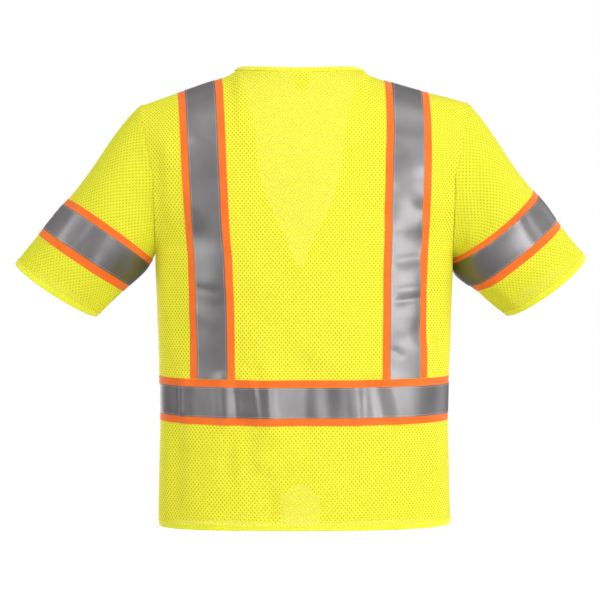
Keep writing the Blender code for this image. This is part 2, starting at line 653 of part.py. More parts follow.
def make_slider():
    """The slider at the top of the closed zip, and the pull tab that hangs from its bridge."""
    at = height_level(SLIDER_Z)
    across = across_at(FRONT, LEFT, np.zeros(1), np.full(1, at))
    surface = body(FRONT, LEFT, across, np.full(1, at))[0, 1]
    plate_in = CHAIN_FRONT + LAYER_GAP
    plate_out = plate_in + SLIDER_PLATE
    back_out = -CLOTH_OUT - 2 * LAYER_GAP - ZIP_TAPE
    eye_out = plate_out + BRIDGE_EYE_HEIGHT
    sink = SLIDER_PLATE / 4
    top = SLIDER_Z + SLIDER_HALF_HEIGHT
    leg_end = BRIDGE_EYE_HALF + BRIDGE_LEG

    def block(name, half_x, offsets, heights):
        low = (-half_x, surface - offsets[1], heights[0])
        high = (half_x, surface - offsets[0], heights[1])
        return box(name, low, high, "lime_zip")

    heights = (SLIDER_Z - SLIDER_HALF_HEIGHT, top)
    slider = block("zip_slider", SLIDER_HALF_WIDTH, (plate_in, plate_out), heights)
    extras = [
        block("back_plate", SLIDER_HALF_WIDTH, (back_out - SLIDER_PLATE, back_out), heights),
        block("post", POST_HALF, (back_out - sink, plate_in + sink), (top - POST_HEIGHT, top - sink)),
        block("top_leg", BRIDGE_HALF, (plate_out - sink, eye_out + BRIDGE_LEG),
              (SLIDER_Z + BRIDGE_EYE_HALF, SLIDER_Z + leg_end)),
        block("low_leg", BRIDGE_HALF, (plate_out - sink, eye_out + BRIDGE_LEG),
              (SLIDER_Z - leg_end, SLIDER_Z - BRIDGE_EYE_HALF)),
        block("bar", BRIDGE_HALF, (eye_out, eye_out + BRIDGE_LEG),
              (SLIDER_Z - BRIDGE_EYE_HALF - sink, SLIDER_Z + BRIDGE_EYE_HALF + sink)),
    ]
    for extra in extras:
        extra.hide_render = True
        extra.display_type = "WIRE"
        union = slider.modifiers.new(extra.name, "BOOLEAN")
        union.operation = "UNION"
        union.object = extra
        union.solver = "EXACT"
    make_tab(surface - plate_out - BRIDGE_EYE_HEIGHT / 2)


def make_tab(axis_y):
    """The pull tab: a crossbar in the bridge's eye, two rails beside the bridge and a plate."""
    half = TAB_THICKNESS / 2

    def patch(columns, down):
        x, z = np.meshgrid(columns, [-d for d in down])
        points = np.stack([x, 0 * x, z], -1)
        return points, np.zeros_like(points) + (0, -1, 0)

    full = (-TAB_HALF, -TAB_HOLE_HALF, TAB_HOLE_HALF, TAB_HALF)
    patches = [
        patch(full, (-half, half)),
        patch(full[:2], (half, TAB_HOLE_END)),
        patch(full[2:], (half, TAB_HOLE_END)),
        patch(full, (TAB_HOLE_END, TAB_LENGTH)),
    ]
    tab = cloth("zip_pull_tab", patches, -half, half, "lime_zip", trim=0)
    tab.location = (0, axis_y, SLIDER_Z)


def main():
    for obj in list(bpy.data.objects):
        bpy.data.objects.remove(obj, do_unlink=True)
    back = {side: back_half(side) for side in SIDE_NAMES}
    fronts = {side: front_half(side) for side in SIDE_NAMES}
    for side in SIDE_NAMES:
        fronts[side][0][:, -1][:ARMPIT + 1] = back[side][0][:, -1][:ARMPIT + 1]
    sleeves = {side: sleeve_net(side, back[side], fronts[side]) for side in SIDE_NAMES}
    make_panels(back, fronts, sleeves)
    make_bindings(back, fronts, sleeves)
    make_tapes(back, fronts, sleeves)
    make_label(back)
    make_zip(fronts)


main()
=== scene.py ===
import math

import bpy
import numpy as np
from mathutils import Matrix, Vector


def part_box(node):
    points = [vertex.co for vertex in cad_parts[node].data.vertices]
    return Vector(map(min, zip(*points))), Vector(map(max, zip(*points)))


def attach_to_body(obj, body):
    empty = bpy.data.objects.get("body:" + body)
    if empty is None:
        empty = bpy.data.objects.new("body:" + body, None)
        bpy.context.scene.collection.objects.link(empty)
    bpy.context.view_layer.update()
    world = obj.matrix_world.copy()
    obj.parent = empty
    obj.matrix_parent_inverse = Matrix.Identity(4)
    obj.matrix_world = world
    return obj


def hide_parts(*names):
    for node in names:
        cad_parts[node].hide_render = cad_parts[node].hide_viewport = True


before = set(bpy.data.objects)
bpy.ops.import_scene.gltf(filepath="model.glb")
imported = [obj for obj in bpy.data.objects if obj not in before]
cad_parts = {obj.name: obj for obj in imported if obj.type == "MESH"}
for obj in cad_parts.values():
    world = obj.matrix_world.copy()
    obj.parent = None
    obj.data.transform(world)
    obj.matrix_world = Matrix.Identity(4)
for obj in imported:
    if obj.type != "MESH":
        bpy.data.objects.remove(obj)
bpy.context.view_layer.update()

print("frame loaded")

# Short-sleeved mesh safety vest. Metres, +X the wearer's left, -Y the front, +Z up.
# A point of the body is found from its face, how far it is across the panel (-1 at the right
# side seam, 0 in the middle, 1 at the left side seam) and its level (0 hem, 1 armpit,
# 2 half way up the armhole, 3 shoulder seam and back of the neck).

back, front = 1, -1
left, right = 1, -1
sideNames = {left: "Left", right: "Right"}
mm = 0.001


# a cubic through the listed values, each with the slope of its neighbours
def through(at, places, values):
    places, values = np.asarray(places, float), np.asarray(values, float)
    slopes = np.gradient(values, places)
    i = np.clip(np.searchsorted(places, at, side="right") - 1, 0, len(places) - 2)
    step = places[i + 1] - places[i]
    u = np.clip((at - places[i]) / step, 0, 1)
    rise = u * u * (3 - 2 * u)
    return (values[i] * (1 - rise) + values[i + 1] * rise
            + step * slopes[i] * u * (1 - u) ** 2 - step * slopes[i + 1] * u * u * (1 - u))


# a vector divided by its length
def unit(v):
    return v / np.maximum(np.linalg.norm(v, axis=-1, keepdims=True), 1e-12)


# three v squared less two v cubed: a ramp from 0 to 1 with flat ends
def ease(v):
    v = np.clip(v, 0, 1)
    return v * v * (3 - 2 * v)


bodyCut = {
    "shift": -0.0072,            # the body hangs a little to the wearer's right of the neck
    "hem": -0.790,
    "armpit": -0.344,            # level 1 in the middle, also the point of the V neck
    "armpitRise": 0.022,
    "yoke": -0.205,              # level 2 in the middle
    "armhole": -0.1943,          # level 2 at the armhole
    "frontHemDrop": 0.024,
    "sideHemDrop": {left: 0.0065, right: 0.0025},
    "armholeOpening": {back: 0.078, front: 0.074},
    "level": [0.00, 0.48, 0.75, 1.00, 1.40, 2.00],
    "halfWidth": [0.2540, 0.2505, 0.2550, 0.2585, 0.2562, 0.2570],
    "depth": {back: [0.140, 0.142, 0.143, 0.141, 0.139, 0.136],
              front: [0.142, 0.147, 0.151, 0.149, 0.142, 0.128]},
    "turn": [90.0, 90.0, 90.0, 90.0, 66.0, 40.0],      # degrees at which a row meets its side edge
    "sideFullness": 0.62,        # 0.55 would make the section an ellipse
    "middleFullness": 0.60,
    "neckTurn": 35.0,            # degrees by which the back stops short of lying flat at the neck
    "rounding": 0.09, "roundingReach": 0.16,           # in levels, beside the armpit's level
}
shoulderCut = {
    "pointX": {left: 0.2786, right: 0.2926},
    "pointZ": {left: -0.0666, right: -0.0620},
    "slope": {left: 0.3327, right: 0.2650},
    "neckStand": 0.0088, "neckStandReach": 0.012,
}
neckCut = {
    "edge": {"half": 0.1077, "back": 0.0755, "z": 0.0, "drop": 0.0088},
    "seam": {"half": 0.1143, "back": 0.0800, "z": -0.0065, "drop": 0.0102},
}
bodyTall = bodyCut["armpit"] - bodyCut["hem"]
bodyCentre = np.array([bodyCut["shift"], 0, -0.4])


# level of a height in the middle of a panel, below the armpit
def levelOf(height):
    return (height - bodyCut["hem"]) / bodyTall


# picks the left or the right value by the sign of the place across
def bySide(values, across):
    return np.where(across >= 0, values[left], values[right])


# height of the shoulder seam: straight to the shoulder point, raised by an exponential at the neck
def shoulderHeight(across, out):
    cut = shoulderCut
    pointX, pointZ, slope = (bySide(cut[name], across) for name in ("pointX", "pointZ", "slope"))
    stand = cut["neckStand"] * np.exp(-(out - neckCut["edge"]["half"]) / cut["neckStandReach"])
    return pointZ + (pointX - out) * slope + np.minimum(stand, 2 * cut["neckStand"])


# back of the neck, half an ellipse that also drops towards the middle; share is -1 to 1
def neckCurve(name, share):
    cut, inside = neckCut[name], np.clip(1 - share ** 2, 0, 1)
    x, y, z = cut["half"] * share, cut["back"] * np.sqrt(inside), cut["z"] - cut["drop"] * inside
    return np.stack([x, y, z], -1)


# up to level 2 a row is one cubic from the middle to the edge, and the armhole opens by a sine at
# the edge and by a raised cosine inwards of it; above level 2 each column is a quarter
# turn over the shoulder, onto the shoulder line or onto the ellipse of the back neck
def bodyShape(face, across, level):
    cut, side, share = bodyCut, np.where(across >= 0, 1.0, -1.0), np.abs(across)
    low, arm, over = (np.clip(level - first, 0, 1) for first in (0, 1, 2))
    halfWidth, depth, turn = (through(np.minimum(level, 2), cut["level"], values)
                              for values in (cut["halfWidth"], cut["depth"][face], cut["turn"]))
    opened, gentle = np.sin(arm * np.pi / 2), (1 - np.cos(arm * np.pi)) / 2
    edgeDepth = cut["armholeOpening"][face] * (gentle + (opened - gentle) * share ** 6)
    swell = cut["sideFullness"] * (depth - edgeDepth)
    handle = 1 - swell / np.tan(np.radians(turn)) / halfWidth
    a, b, c = 3 * (1 - share) ** 2 * share, 3 * (1 - share) * share ** 2, share ** 3
    wide = a * cut["middleFullness"] + b * handle + c
    x = cut["shift"] + side * halfWidth * wide
    y = face * (depth * ((1 - share) ** 3 + a) + (edgeDepth + swell) * b + edgeDepth * c)
    midZ = cut["hem"] + bodyTall * low + (cut["yoke"] - cut["armpit"]) * arm
    armpitZ = cut["armpit"] + cut["armpitRise"]
    hemZ = midZ + cut["armpitRise"] * low ** 3 - bySide(cut["sideHemDrop"], across) * (1 - low) ** 2
    sideZ = np.where(level < 1, hemZ, armpitZ + (cut["armhole"] - armpitZ) * (1 - np.cos(arm * np.pi / 2)))
    if face == front:
        midZ = midZ - cut["frontHemDrop"] * (1 - low) ** 2
    z = midZ + (sideZ - midZ) * wide ** 2
    armholeX = np.abs(cut["shift"] + side * cut["halfWidth"][-1])
    topX = x + side * (bySide(shoulderCut["pointX"], across) - armholeX) * wide
    topY, topZ, end = np.zeros_like(x), shoulderHeight(across, side * topX), np.full_like(x, np.pi / 2)
    if face == back:
        share = topX / neckCut["seam"]["half"]
        neck = neckCurve("seam", share)
        topY, topZ = (np.where(np.abs(share) < 1, neck[..., k], top) for k, top in ((1, topY), (2, topZ)))
        end = end - np.radians(cut["neckTurn"]) * np.clip(1 - share ** 2, 0, 1)
    rise = np.sin(end * over) / np.sin(end)
    swing = (np.cos(end * over) - np.cos(end)) / (1 - np.cos(end))
    return np.stack([x + (topX - x) * rise, topY + (y - topY) * swing, z + (topZ - z) * rise], -1)


# the shape with its turn at the armpit's level rounded: each point there is the mean of itself and
# its neighbours above and below, and the side seams stay
def bodySurface(face, across, level):
    across, level = np.broadcast_arrays(np.asarray(across, float), np.asarray(level, float))
    points = bodyShape(face, across, level)
    near = np.exp(-((level - 1) / bodyCut["roundingReach"]) ** 2)
    reach = bodyCut["rounding"] * near * (1 - np.clip(np.abs(across), 0, 1) ** 8)
    above, below = bodyShape(face, across, level + 2 * reach), bodyShape(face, across, level - reach)
    return points + (above + 2 * below - 3 * points) / 6


# the place across at which a row crosses x, by halving
def acrossAt(face, x, level):
    x, level = np.broadcast_arrays(np.asarray(x, float), np.asarray(level, float))
    low, high = np.full(x.shape, -1.1), np.full(x.shape, 1.1)
    for _ in range(22):
        middle = (low + high) / 2
        past = bodySurface(face, middle, level)[..., 0] > x
        low, high = np.where(past, low, middle), np.where(past, middle, high)
    return (low + high) / 2


# Each fold is a bell across a leaning line, faded at both ends of the line:
# top x and z, foot x and z, half width, depth (minus is a trough), all in millimetres
folds = {
    back: [
        # skirt below the waist tape
        (114, -600, 120, -720, 15, -2.4), (90, -602, 80, -700, 14, -2.2),
        (103, -640, 99, -740, 9, 1.6), (74, -618, 60, -690, 14, 1.6), (60, -690, 46, -775, 15, -2.4),
        (206, -615, 212, -775, 14, -3.4), (226, -612, 232, -770, 12, 2.0),
        (190, -625, 188, -730, 16, 1.4), (-166, -640, -128, -735, 11, 1.8),
        (-136, -630, -116, -735, 18, -2.8), (-205, -615, -214, -775, 16, -2.8),
        (-90, -650, -96, -760, 20, -1.6), (20, -640, 28, -720, 16, -1.5),
        (-40, -628, -36, -700, 18, 1.3), (-186, -640, -176, -760, 12, 1.6),
        # chest and armholes
        (226, -350, 196, -480, 22, -3.0), (238, -345, 232, -440, 12, 2.4),
        (-236, -360, -208, -480, 22, -3.0), (-246, -350, -243, -450, 12, 2.2),
        (244, -150, 236, -300, 12, -2.6), (-250, -150, -246, -300, 12, -3.8),
        (226, -130, 222, -280, 13, 2.4), (-232, -130, -226, -290, 14, 2.8),
        (120, -330, 100, -520, 26, -1.4), (-126, -330, -112, -530, 26, -1.4),
        (60, -150, 20, -190, 24, -1.4), (-70, -150, -26, -185, 24, -1.4),
        (90, -420, 94, -560, 18, 1.3), (-100, -420, -96, -560, 18, 1.3),
        (30, -430, 26, -560, 22, -1.2),
        # waist tape
        (195, -535, 194, -612, 10, 7.2), (206, -535, 207, -612, 9, -1.6),
        (131, -530, 124, -620, 12, 4.4), (108, -530, 102, -620, 9, -2.6), (80, -534, 70, -614, 9, 5.0),
        (57, -505, 47, -645, 15, 6.0), (-5, -490, -11, -662, 24, -7.0),
        (-43, -510, -47, -640, 20, -4.8), (-88, -530, -94, -618, 10, 2.2),
        (-106, -530, -114, -618, 10, -3.2), (-125, -530, -142, -618, 12, -4.0),
        (-150, -530, -170, -618, 11, 1.4),
        # shoulder tapes
        (-158, -142, -208, -190, 18, 0.5), (-158, -212, -208, -262, 15, -1.6),
        (-210, -232, -158, -244, 14, 0.4), (-158, -298, -210, -290, 16, 0.5),
        (-158, -342, -210, -332, 13, -2.3), (-212, -384, -158, -390, 8, 1.1),
        (-212, -401, -158, -409, 6, -1.1), (-212, -432, -158, -426, 14, 0.7),
        (-206, -462, -160, -474, 14, -0.8), (-156, -486, -172, -502, 6, -0.8),
        (186, -130, 130, -160, 16, 1.5), (188, -206, 132, -262, 16, -0.8),
        (188, -262, 132, -300, 14, 0.4), (184, -384, 132, -392, 8, -0.8),
        (184, -420, 132, -446, 13, 0.9), (122, -222, 118, -400, 56, 4.2),
        (-134, -138, -136, -274, 52, -6.2),
    ],
    front: [
        (105, -630, 75, -740, 20, -3.2), (-120, -630, -85, -730, 20, -2.8),
        (128, -625, 132, -730, 14, 1.8), (-150, -625, -156, -740, 14, 1.8),
        (208, -615, 214, -775, 15, -3.0), (-206, -615, -214, -775, 15, -3.0),
        (52, -650, 46, -730, 12, 1.5), (-50, -650, -44, -730, 12, 1.5),
        (210, -370, 150, -500, 24, -3.2), (-220, -370, -165, -490, 24, -3.2),
        (238, -345, 230, -440, 12, 2.4), (-246, -350, -240, -450, 12, 2.2),
        (238, -150, 232, -300, 12, -2.6), (-248, -150, -242, -300, 12, -2.6),
        (216, -140, 214, -280, 14, 1.7), (-226, -140, -222, -290, 14, 1.7),
        (60, -330, 56, -520, 20, -1.6), (-62, -330, -58, -520, 20, -1.6),
        (90, -420, 96, -560, 20, 1.5), (-98, -420, -104, -560, 20, 1.5),
        # waist tape
        (200, -535, 201, -612, 8, 1.9), (176, -538, 174, -612, 10, -1.6),
        (150, -535, 146, -612, 9, 1.7), (112, -538, 108, -612, 12, -1.7), (82, -535, 80, -612, 8, 1.9),
        (52, -538, 50, -612, 11, -1.5), (28, -538, 27, -612, 8, 1.3), (-30, -538, -29, -612, 9, 1.3),
        (-58, -538, -56, -612, 11, -1.6), (-88, -535, -86, -612, 8, 1.9),
        (-120, -538, -118, -612, 12, -1.7), (-160, -535, -156, -612, 9, 1.8),
        (-190, -538, -188, -612, 10, -1.6), (-212, -535, -212, -612, 8, 1.7),
        # shoulder tapes
        (186, -150, 134, -190, 10, 1.8), (188, -190, 134, -236, 10, -2.2),
        (186, -262, 132, -300, 9, 1.7), (184, -322, 130, -334, 6, -2.0),
        (184, -352, 130, -348, 8, 1.8), (182, -430, 128, -446, 10, -1.4),
        (-150, -160, -208, -206, 10, 1.8), (-150, -210, -208, -246, 10, -2.1),
        (-150, -292, -204, -310, 8, 1.8), (-150, -336, -204, -344, 6, -2.0),
        (-148, -392, -200, -398, 6, -1.8), (-148, -440, -200, -452, 11, 1.4),
    ],
}


# a fold: a bell across its line, faded over the given part of it at both ends
def foldBell(along, aside, halfWidth, fade, beyond):
    faded = ease(along / fade + beyond) * ease((1 - along) / fade + beyond)
    return faded * np.exp(-(aside / halfWidth) ** 2)


# sum of the folds at points of one face, and a slow unevenness from three crossed sines
def foldDepth(face, points):
    x, z = points[..., 0] / mm, points[..., 2] / mm
    total = 0.45 * np.sin(x / 23 + z / 61 + face) + 0.35 * np.sin(z / 27 - x / 47 + 2)
    total = total + 0.3 * np.sin(x / 13 - z / 17)
    for topX, topZ, footX, footZ, halfWidth, depth in folds[face]:
        runX, runZ = footX - topX, footZ - topZ
        length = math.hypot(runX, runZ)
        along = ((x - topX) * runX + (z - topZ) * runZ) / length ** 2
        aside = ((x - topX) * runZ - (z - topZ) * runX) / length
        total = total + depth * foldBell(along, aside, halfWidth, 0.3, 0.35)
    return total * mm


# slope of points along an axis; a closed run, whose last point is its first, goes on round
def slopeAlong(points, axis, wrap):
    if not wrap:
        return np.gradient(points, axis=axis)
    before, after = np.take(points, [-2], axis), np.take(points, [1], axis)
    return np.delete(np.gradient(np.concatenate([before, points, after], axis), axis=axis), [0, -1], axis)


# normals turned away from a centre, all together or, along the last axis, each by itself
def turnedOut(normals, points, centre, axis=None):
    return normals * np.sign(np.sum(normals * (points - centre), axis, keepdims=axis is not None))


# direction out of the cloth at each point of a grid: the cross product of its two directions
def gridNormals(points, centre=bodyCentre, wrap=False):
    normals = unit(np.cross(slopeAlong(points, 1, wrap), np.gradient(points, axis=0)))
    return turnedOut(normals, points, centre)


# beside the side and shoulder seams: a panel's half width and top in mm, and what the cloth does
seamCut = {
    "panelHalf": 300, "panelTop": 270, "flattened": 0.6, "flatReach": 9, "sideRoll": 0.8, "shoulderRoll": 0.6,
}


# a soft roll beside a seam: nothing on the seam, most 3 mm from it, nothing again past 12 mm
def seamRoll(distance):
    return np.maximum(distance, 0) / 3 * np.exp(1 - np.maximum(distance, 0) / 3)


# the share of a fold's depth that is left beside a side seam
def besideSeam(across):
    fromSide = (1 - np.abs(across)) * seamCut["panelHalf"]
    return 1 - seamCut["flattened"] * np.exp(-(fromSide / seamCut["flatReach"]) ** 2)


# points and normals of the folded cloth of a body panel, raised beside its seams and level on them
def bodyCloth(face, across, level, seams=True):
    points = bodySurface(face, across, level)
    shift = foldDepth(face, points)
    if seams:
        sideRoll = seamCut["sideRoll"] * seamRoll((1 - np.abs(across)) * seamCut["panelHalf"])
        shoulderRoll = seamCut["shoulderRoll"] * seamRoll((3 - level) * seamCut["panelTop"])
        shift = shift * besideSeam(across) + (sideRoll + shoulderRoll) * mm
    points = points + gridNormals(points) * shift[..., None]
    return points, gridNormals(points)


# the same cloth at places given by x and level
def clothAt(face, x, level):
    return bodyCloth(face, acrossAt(face, x, level), level, seams=False)


# turns an sRGB hex colour linear
def linear(colour):
    parts = [int(colour[i:i + 2], 16) / 255 for i in (1, 3, 5)]
    return [p / 12.92 if p <= 0.04045 else ((p + 0.055) / 1.055) ** 2.4 for p in parts] + [1.0]


# whether a closed form's faces point outwards: its volume, a sum of triple products, is positive
def facingOut(points, faces):
    a, b, c, d = (points[faces[:, k]] for k in range(4))
    return np.sum(a * np.cross(b, c)) + np.sum(a * np.cross(c, d)) >= 0


# a mesh object from points, four-cornered faces (a repeated corner makes a triangle) and the
# place of each corner on the flat cloth
def makeObject(name, points, faces, materials, flatPlaces=None, sharpAngle=40, finish=None):
    flatPlaces = np.zeros((*faces.shape, 2)) if flatPlaces is None else flatPlaces
    if not facingOut(points, faces):
        faces, flatPlaces = faces[:, ::-1], flatPlaces[:, ::-1]
    used, faces = np.unique(faces, return_inverse=True)
    faces = faces.reshape(-1, 4)
    keep = faces != np.roll(faces, 1, axis=1)
    sizes = keep.sum(1)
    mesh = bpy.data.meshes.new(name)
    mesh.vertices.add(len(used))
    mesh.vertices.foreach_set("co", points[used].astype(np.float32).ravel())
    mesh.loops.add(int(sizes.sum()))
    mesh.loops.foreach_set("vertex_index", faces[keep].astype(np.int32))
    mesh.polygons.add(len(faces))
    mesh.polygons.foreach_set("loop_start", (np.cumsum(sizes) - sizes).astype(np.int32))
    mesh.polygons.foreach_set("use_smooth", np.ones(len(faces), bool))
    layer = mesh.uv_layers.new(name="flatCloth")
    layer.data.foreach_set("uv", flatPlaces[keep].astype(np.float32).ravel())
    mesh.update(calc_edges=True)
    mesh.validate()
    mesh.set_sharp_from_angle(angle=math.radians(sharpAngle))
    for material in materials:
        mesh.materials.append(material)
    if finish is not None:
        mesh.polygons.foreach_set("material_index", finish.astype(np.int32))
    made = bpy.data.objects.new(name, mesh)
    bpy.context.scene.collection.objects.link(made)
    return made


# joins a piece to its body and hides its solid
def attach(made, solids, body="vest"):
    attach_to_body(made, body)
    if solids:
        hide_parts(*solids)


# faces of a closed sheet: an outer grid, an inner grid behind it and a rim round their edges
def sheetFaces(rowCount, columnCount, wrap):
    index = np.arange(rowCount * columnCount).reshape(rowCount, columnCount)
    total = index.size

    def cells(i):
        return np.stack([i[:-1, :-1], i[:-1, 1:], i[1:, 1:], i[1:, :-1]], -1).reshape(-1, 4)

    rim = [index[0], index[-1, ::-1]]
    if not wrap:
        rim = [index[0], index[:, -1], index[-1, ::-1], index[::-1, 0]]
    edges = np.concatenate([np.stack([line[1:], line[:-1]], 1) for line in rim])
    corners = np.concatenate([cells(index), cells(index)[:, ::-1] + total,
                              np.concatenate([edges, edges[:, ::-1] + total], 1)])
    joined = index.copy()
    if wrap:
        joined[:, -1] = joined[:, 0]
    same = np.concatenate([joined.ravel(), joined.ravel() + total])
    return same[corners], corners % total


# running length along one axis of a grid, counting only the listed directions of space
def runningLength(points, axis, directions=(0, 1, 2)):
    steps = np.linalg.norm(np.diff(points[..., directions], axis=axis), axis=-1)
    return np.concatenate([np.zeros_like(steps.take([0], axis)), np.cumsum(steps, axis)], axis)


# a closed sheet between two grids of points; its places on the flat cloth are lengths along it
# unless they are given, and a second material is that of its inner side
def sheetObject(name, outer, inner, materials, wrap=False, flatPlaces=None):
    if flatPlaces is None:
        flatPlaces = np.stack([runningLength(outer, 1), runningLength(outer, 0)], -1)
    faces, corners = sheetFaces(*outer.shape[:2], wrap)
    points = np.concatenate([outer.reshape(-1, 3), inner.reshape(-1, 3)])
    outerCount = (outer.shape[0] - 1) * (outer.shape[1] - 1)
    inside = (np.arange(len(faces)) // outerCount == 1) & (len(materials) > 1)
    return makeObject(name, points, faces, materials, flatPlaces.reshape(-1, 2)[corners], finish=inside)


# a closed sheet between two distances out from a grid
def clothObject(name, grid, between, materials, wrap=False, flatPlaces=None):
    points, normals = grid
    if flatPlaces is None:
        flatPlaces = np.stack([runningLength(points, 1), runningLength(points, 0)], -1)
    outer, inner = (points + normals * distance for distance in between)
    return sheetObject(name, outer, inner, materials, wrap, flatPlaces)


# adds one node with its settings, and with its inputs set or linked; a node as an input means
# its first output
def addNode(tree, kind, inputs=None, **settings):
    node = tree.nodes.new("ShaderNode" + kind)
    for name, value in settings.items():
        setattr(node, name, value)
    for name, value in (inputs or {}).items():
        value = value.outputs[0] if isinstance(value, bpy.types.Node) else value
        if isinstance(value, bpy.types.NodeSocket):
            tree.links.new(value, node.inputs[name])
        else:
            node.inputs[name].default_value = value
    return node


# a new material whose surface is the last node of a pattern
def makeMaterial(name, pattern, *look):
    material = bpy.data.materials.new(name)
    material.use_nodes = True
    tree = material.node_tree
    tree.nodes.clear()
    addNode(tree, "OutputMaterial", {"Surface": pattern(tree, *look)})
    return material


# waves across the cloth times waves up it, each with its real length in millimetres
def crossedWaves(tree, spot, wave, lengths):
    parts, waves = addNode(tree, "SeparateXYZ", {0: spot}), []
    for axis, length in enumerate(lengths):
        turns = {0: parts.outputs[axis], 1: 2 * math.pi / (length * mm)}
        turned = addNode(tree, "Math", turns, operation="MULTIPLY")
        waves.append(addNode(tree, "Math", {0: turned}, operation=wave))
    return addNode(tree, "Math", {0: waves[0], 1: waves[1]}, operation="MULTIPLY")


# Polyester tricot mesh, warp knitted and dyed fluorescent lime: matt, soft yarn with a slight
# fuzz at grazing angles, round holes in a quincunx. Its emission is a painted glow, the same in
# light and in shade, which stands in for the dye's fluorescence and keeps its shadows clear. A
# hole sits where two cosines across and up the cloth multiply to nearly one.
meshLook = {
    "holes": (6.9, 8.0),         # mm between the holes of a row, and between rows that line up
    "holeEdge": (0.43, 0.59),    # product of the cosines where the yarn ends and where the hole is clear
    "wander": 0.0016,            # metres by which a hole may lie off its place
    "roughness": 0.82,
    # painted glow: a constant emission in this colour, as bright in shade as in light
    "glow": "#e0f030",
    "paintedGlowStrength": 0.09,
}
# yarn, a darker tone of it, which is painted shade round the holes and also the cloth's random
# tone, and the share of a hole that thin crossing filaments cover
meshFaces = {
    "Outside": ("#efe73e", "#d8d42c", 0.46),
    # painted shade: the inner sides are the same yarn painted darker, for the shade inside the vest, the
    # fronts' darkest
    "BackInsidePaintedShade": ("#e6e03c", "#cfca28", 0.58),
    "FrontInsidePaintedShade": ("#d6d034", "#bcb822", 0.84),
    # painted shade: the sleeves' outside is the body's yarn painted a little darker
    "Sleeve": ("#e4e13a", "#cfcd28", 0.58),
    # painted shade: the sleeves' inner side is the same yarn painted darker, for the shade inside them
    "SleeveInsidePaintedShade": ("#d6d034", "#bcb822", 0.66),
}


# the holes, their edges a smooth step of the crossed cosines, with painted shade round them, over a slow tone
# and a fine yarn grain
def meshPattern(tree, light, shade, crossing):
    look, flat = meshLook, addNode(tree, "UVMap", uv_map="flatCloth")
    wander = addNode(tree, "TexNoise", {"Vector": flat, "Scale": 55.0, "Detail": 1.0}).outputs["Color"]
    wander = addNode(tree, "VectorMath", {0: wander, 1: (0.5, 0.5, 0.5)}, operation="SUBTRACT")
    wander = addNode(tree, "VectorMath", {0: wander, "Scale": look["wander"]}, operation="SCALE")
    spot = addNode(tree, "VectorMath", {0: flat, 1: wander}, operation="ADD")
    both = crossedWaves(tree, spot, "COSINE", look["holes"])
    hole = {"From Min": look["holeEdge"][0], "From Max": look["holeEdge"][1],
            "To Min": 1.0, "To Max": crossing, "Value": both}
    solid = addNode(tree, "MapRange", hole, interpolation_type="SMOOTHSTEP")
    tone = addNode(tree, "TexNoise", {"Vector": flat, "Scale": 18.0, "Detail": 3.0})
    yarn = addNode(tree, "TexNoise", {"Vector": flat, "Scale": 620.0, "Detail": 2.0})
    # painted shade: towards each hole's rim the yarn is mixed towards its darker tone; the slow tone and the
    # yarn grain add the cloth's own uneven tone
    dark = addNode(tree, "MapRange", {"Value": both, "From Max": 0.6, "To Max": 0.12})
    dark = addNode(tree, "Math", {0: tone, 1: 0.30, 2: dark}, operation="MULTIPLY_ADD")
    dark = addNode(tree, "Math", {0: yarn, 1: 0.30, 2: dark}, operation="MULTIPLY_ADD", use_clamp=True)
    colour = addNode(tree, "Mix", {"Factor": dark, 6: linear(light), 7: linear(shade)}, data_type="RGBA")
    height = addNode(tree, "Math", {0: both, 1: -1.0, 2: yarn}, operation="MULTIPLY_ADD")
    bump = addNode(tree, "Bump", {"Strength": 0.45, "Distance": 0.0004, "Height": height})
    # the emission is the painted glow, which lightens the mesh's shadows
    return addNode(tree, "BsdfPrincipled", {
        "Base Color": colour.outputs[2], "Roughness": look["roughness"], "Alpha": solid, "Normal": bump,
        "Sheen Weight": 0.03, "Sheen Roughness": 0.5, "Specular IOR Level": 0.12,
        "Emission Color": linear(look["glow"]), "Emission Strength": look["paintedGlowStrength"]})


# A closely woven or knitted tape: ribs a real distance apart along and across the strip,
# which break up the light, under a slow change of tone
def tapePattern(tree, look):
    flat = addNode(tree, "UVMap", uv_map="flatCloth")
    weave = crossedWaves(tree, flat, "SINE", look["ribs"])
    grain = addNode(tree, "TexNoise", {"Vector": flat, "Scale": look["grain"], "Detail": 3.0})
    tone = addNode(tree, "TexNoise", {"Vector": flat, "Scale": 22.0, "Detail": 2.0})
    mixed = addNode(tree, "Math", {0: weave, 1: 0.18, 2: tone}, operation="MULTIPLY_ADD")
    mixed = addNode(tree, "Math", {0: grain, 1: 0.35, 2: mixed}, operation="MULTIPLY_ADD", use_clamp=True)
    share = addNode(tree, "MapRange", {"Value": mixed, "From Min": 0.35, "From Max": 1.0})
    light, shade = (linear(colour) for colour in look["colours"])
    colour = addNode(tree, "Mix", {"Factor": share, 6: light, 7: shade}, data_type="RGBA")
    smooth, coarse = look["roughness"]
    spread = {"Value": grain, "From Min": 0.3, "From Max": 0.7, "To Min": smooth, "To Max": coarse}
    rough = addNode(tree, "MapRange", spread)
    height = addNode(tree, "Math", {0: weave, 1: look["weaveShare"], 2: grain}, operation="MULTIPLY_ADD")
    bump = addNode(tree, "Bump", {"Strength": look["bump"], "Distance": 0.0003, "Height": height})
    return addNode(tree, "BsdfPrincipled",
                   {"Base Color": colour.outputs[2], "Roughness": rough, "Normal": bump, **look["shader"]})


# Woven polyester binding, folded over the edges: fine cross ribs, a little brighter than the mesh
bindingLook = {
    "colours": ("#f8f838", "#e6ea22"), "ribs": (1.2, 1.6), "grain": 900.0,
    "roughness": (0.62, 0.78), "bump": 0.35, "weaveShare": 0.8,
    "shader": {"Sheen Weight": 0.12, "Sheen Roughness": 0.5, "Specular IOR Level": 0.3},
}
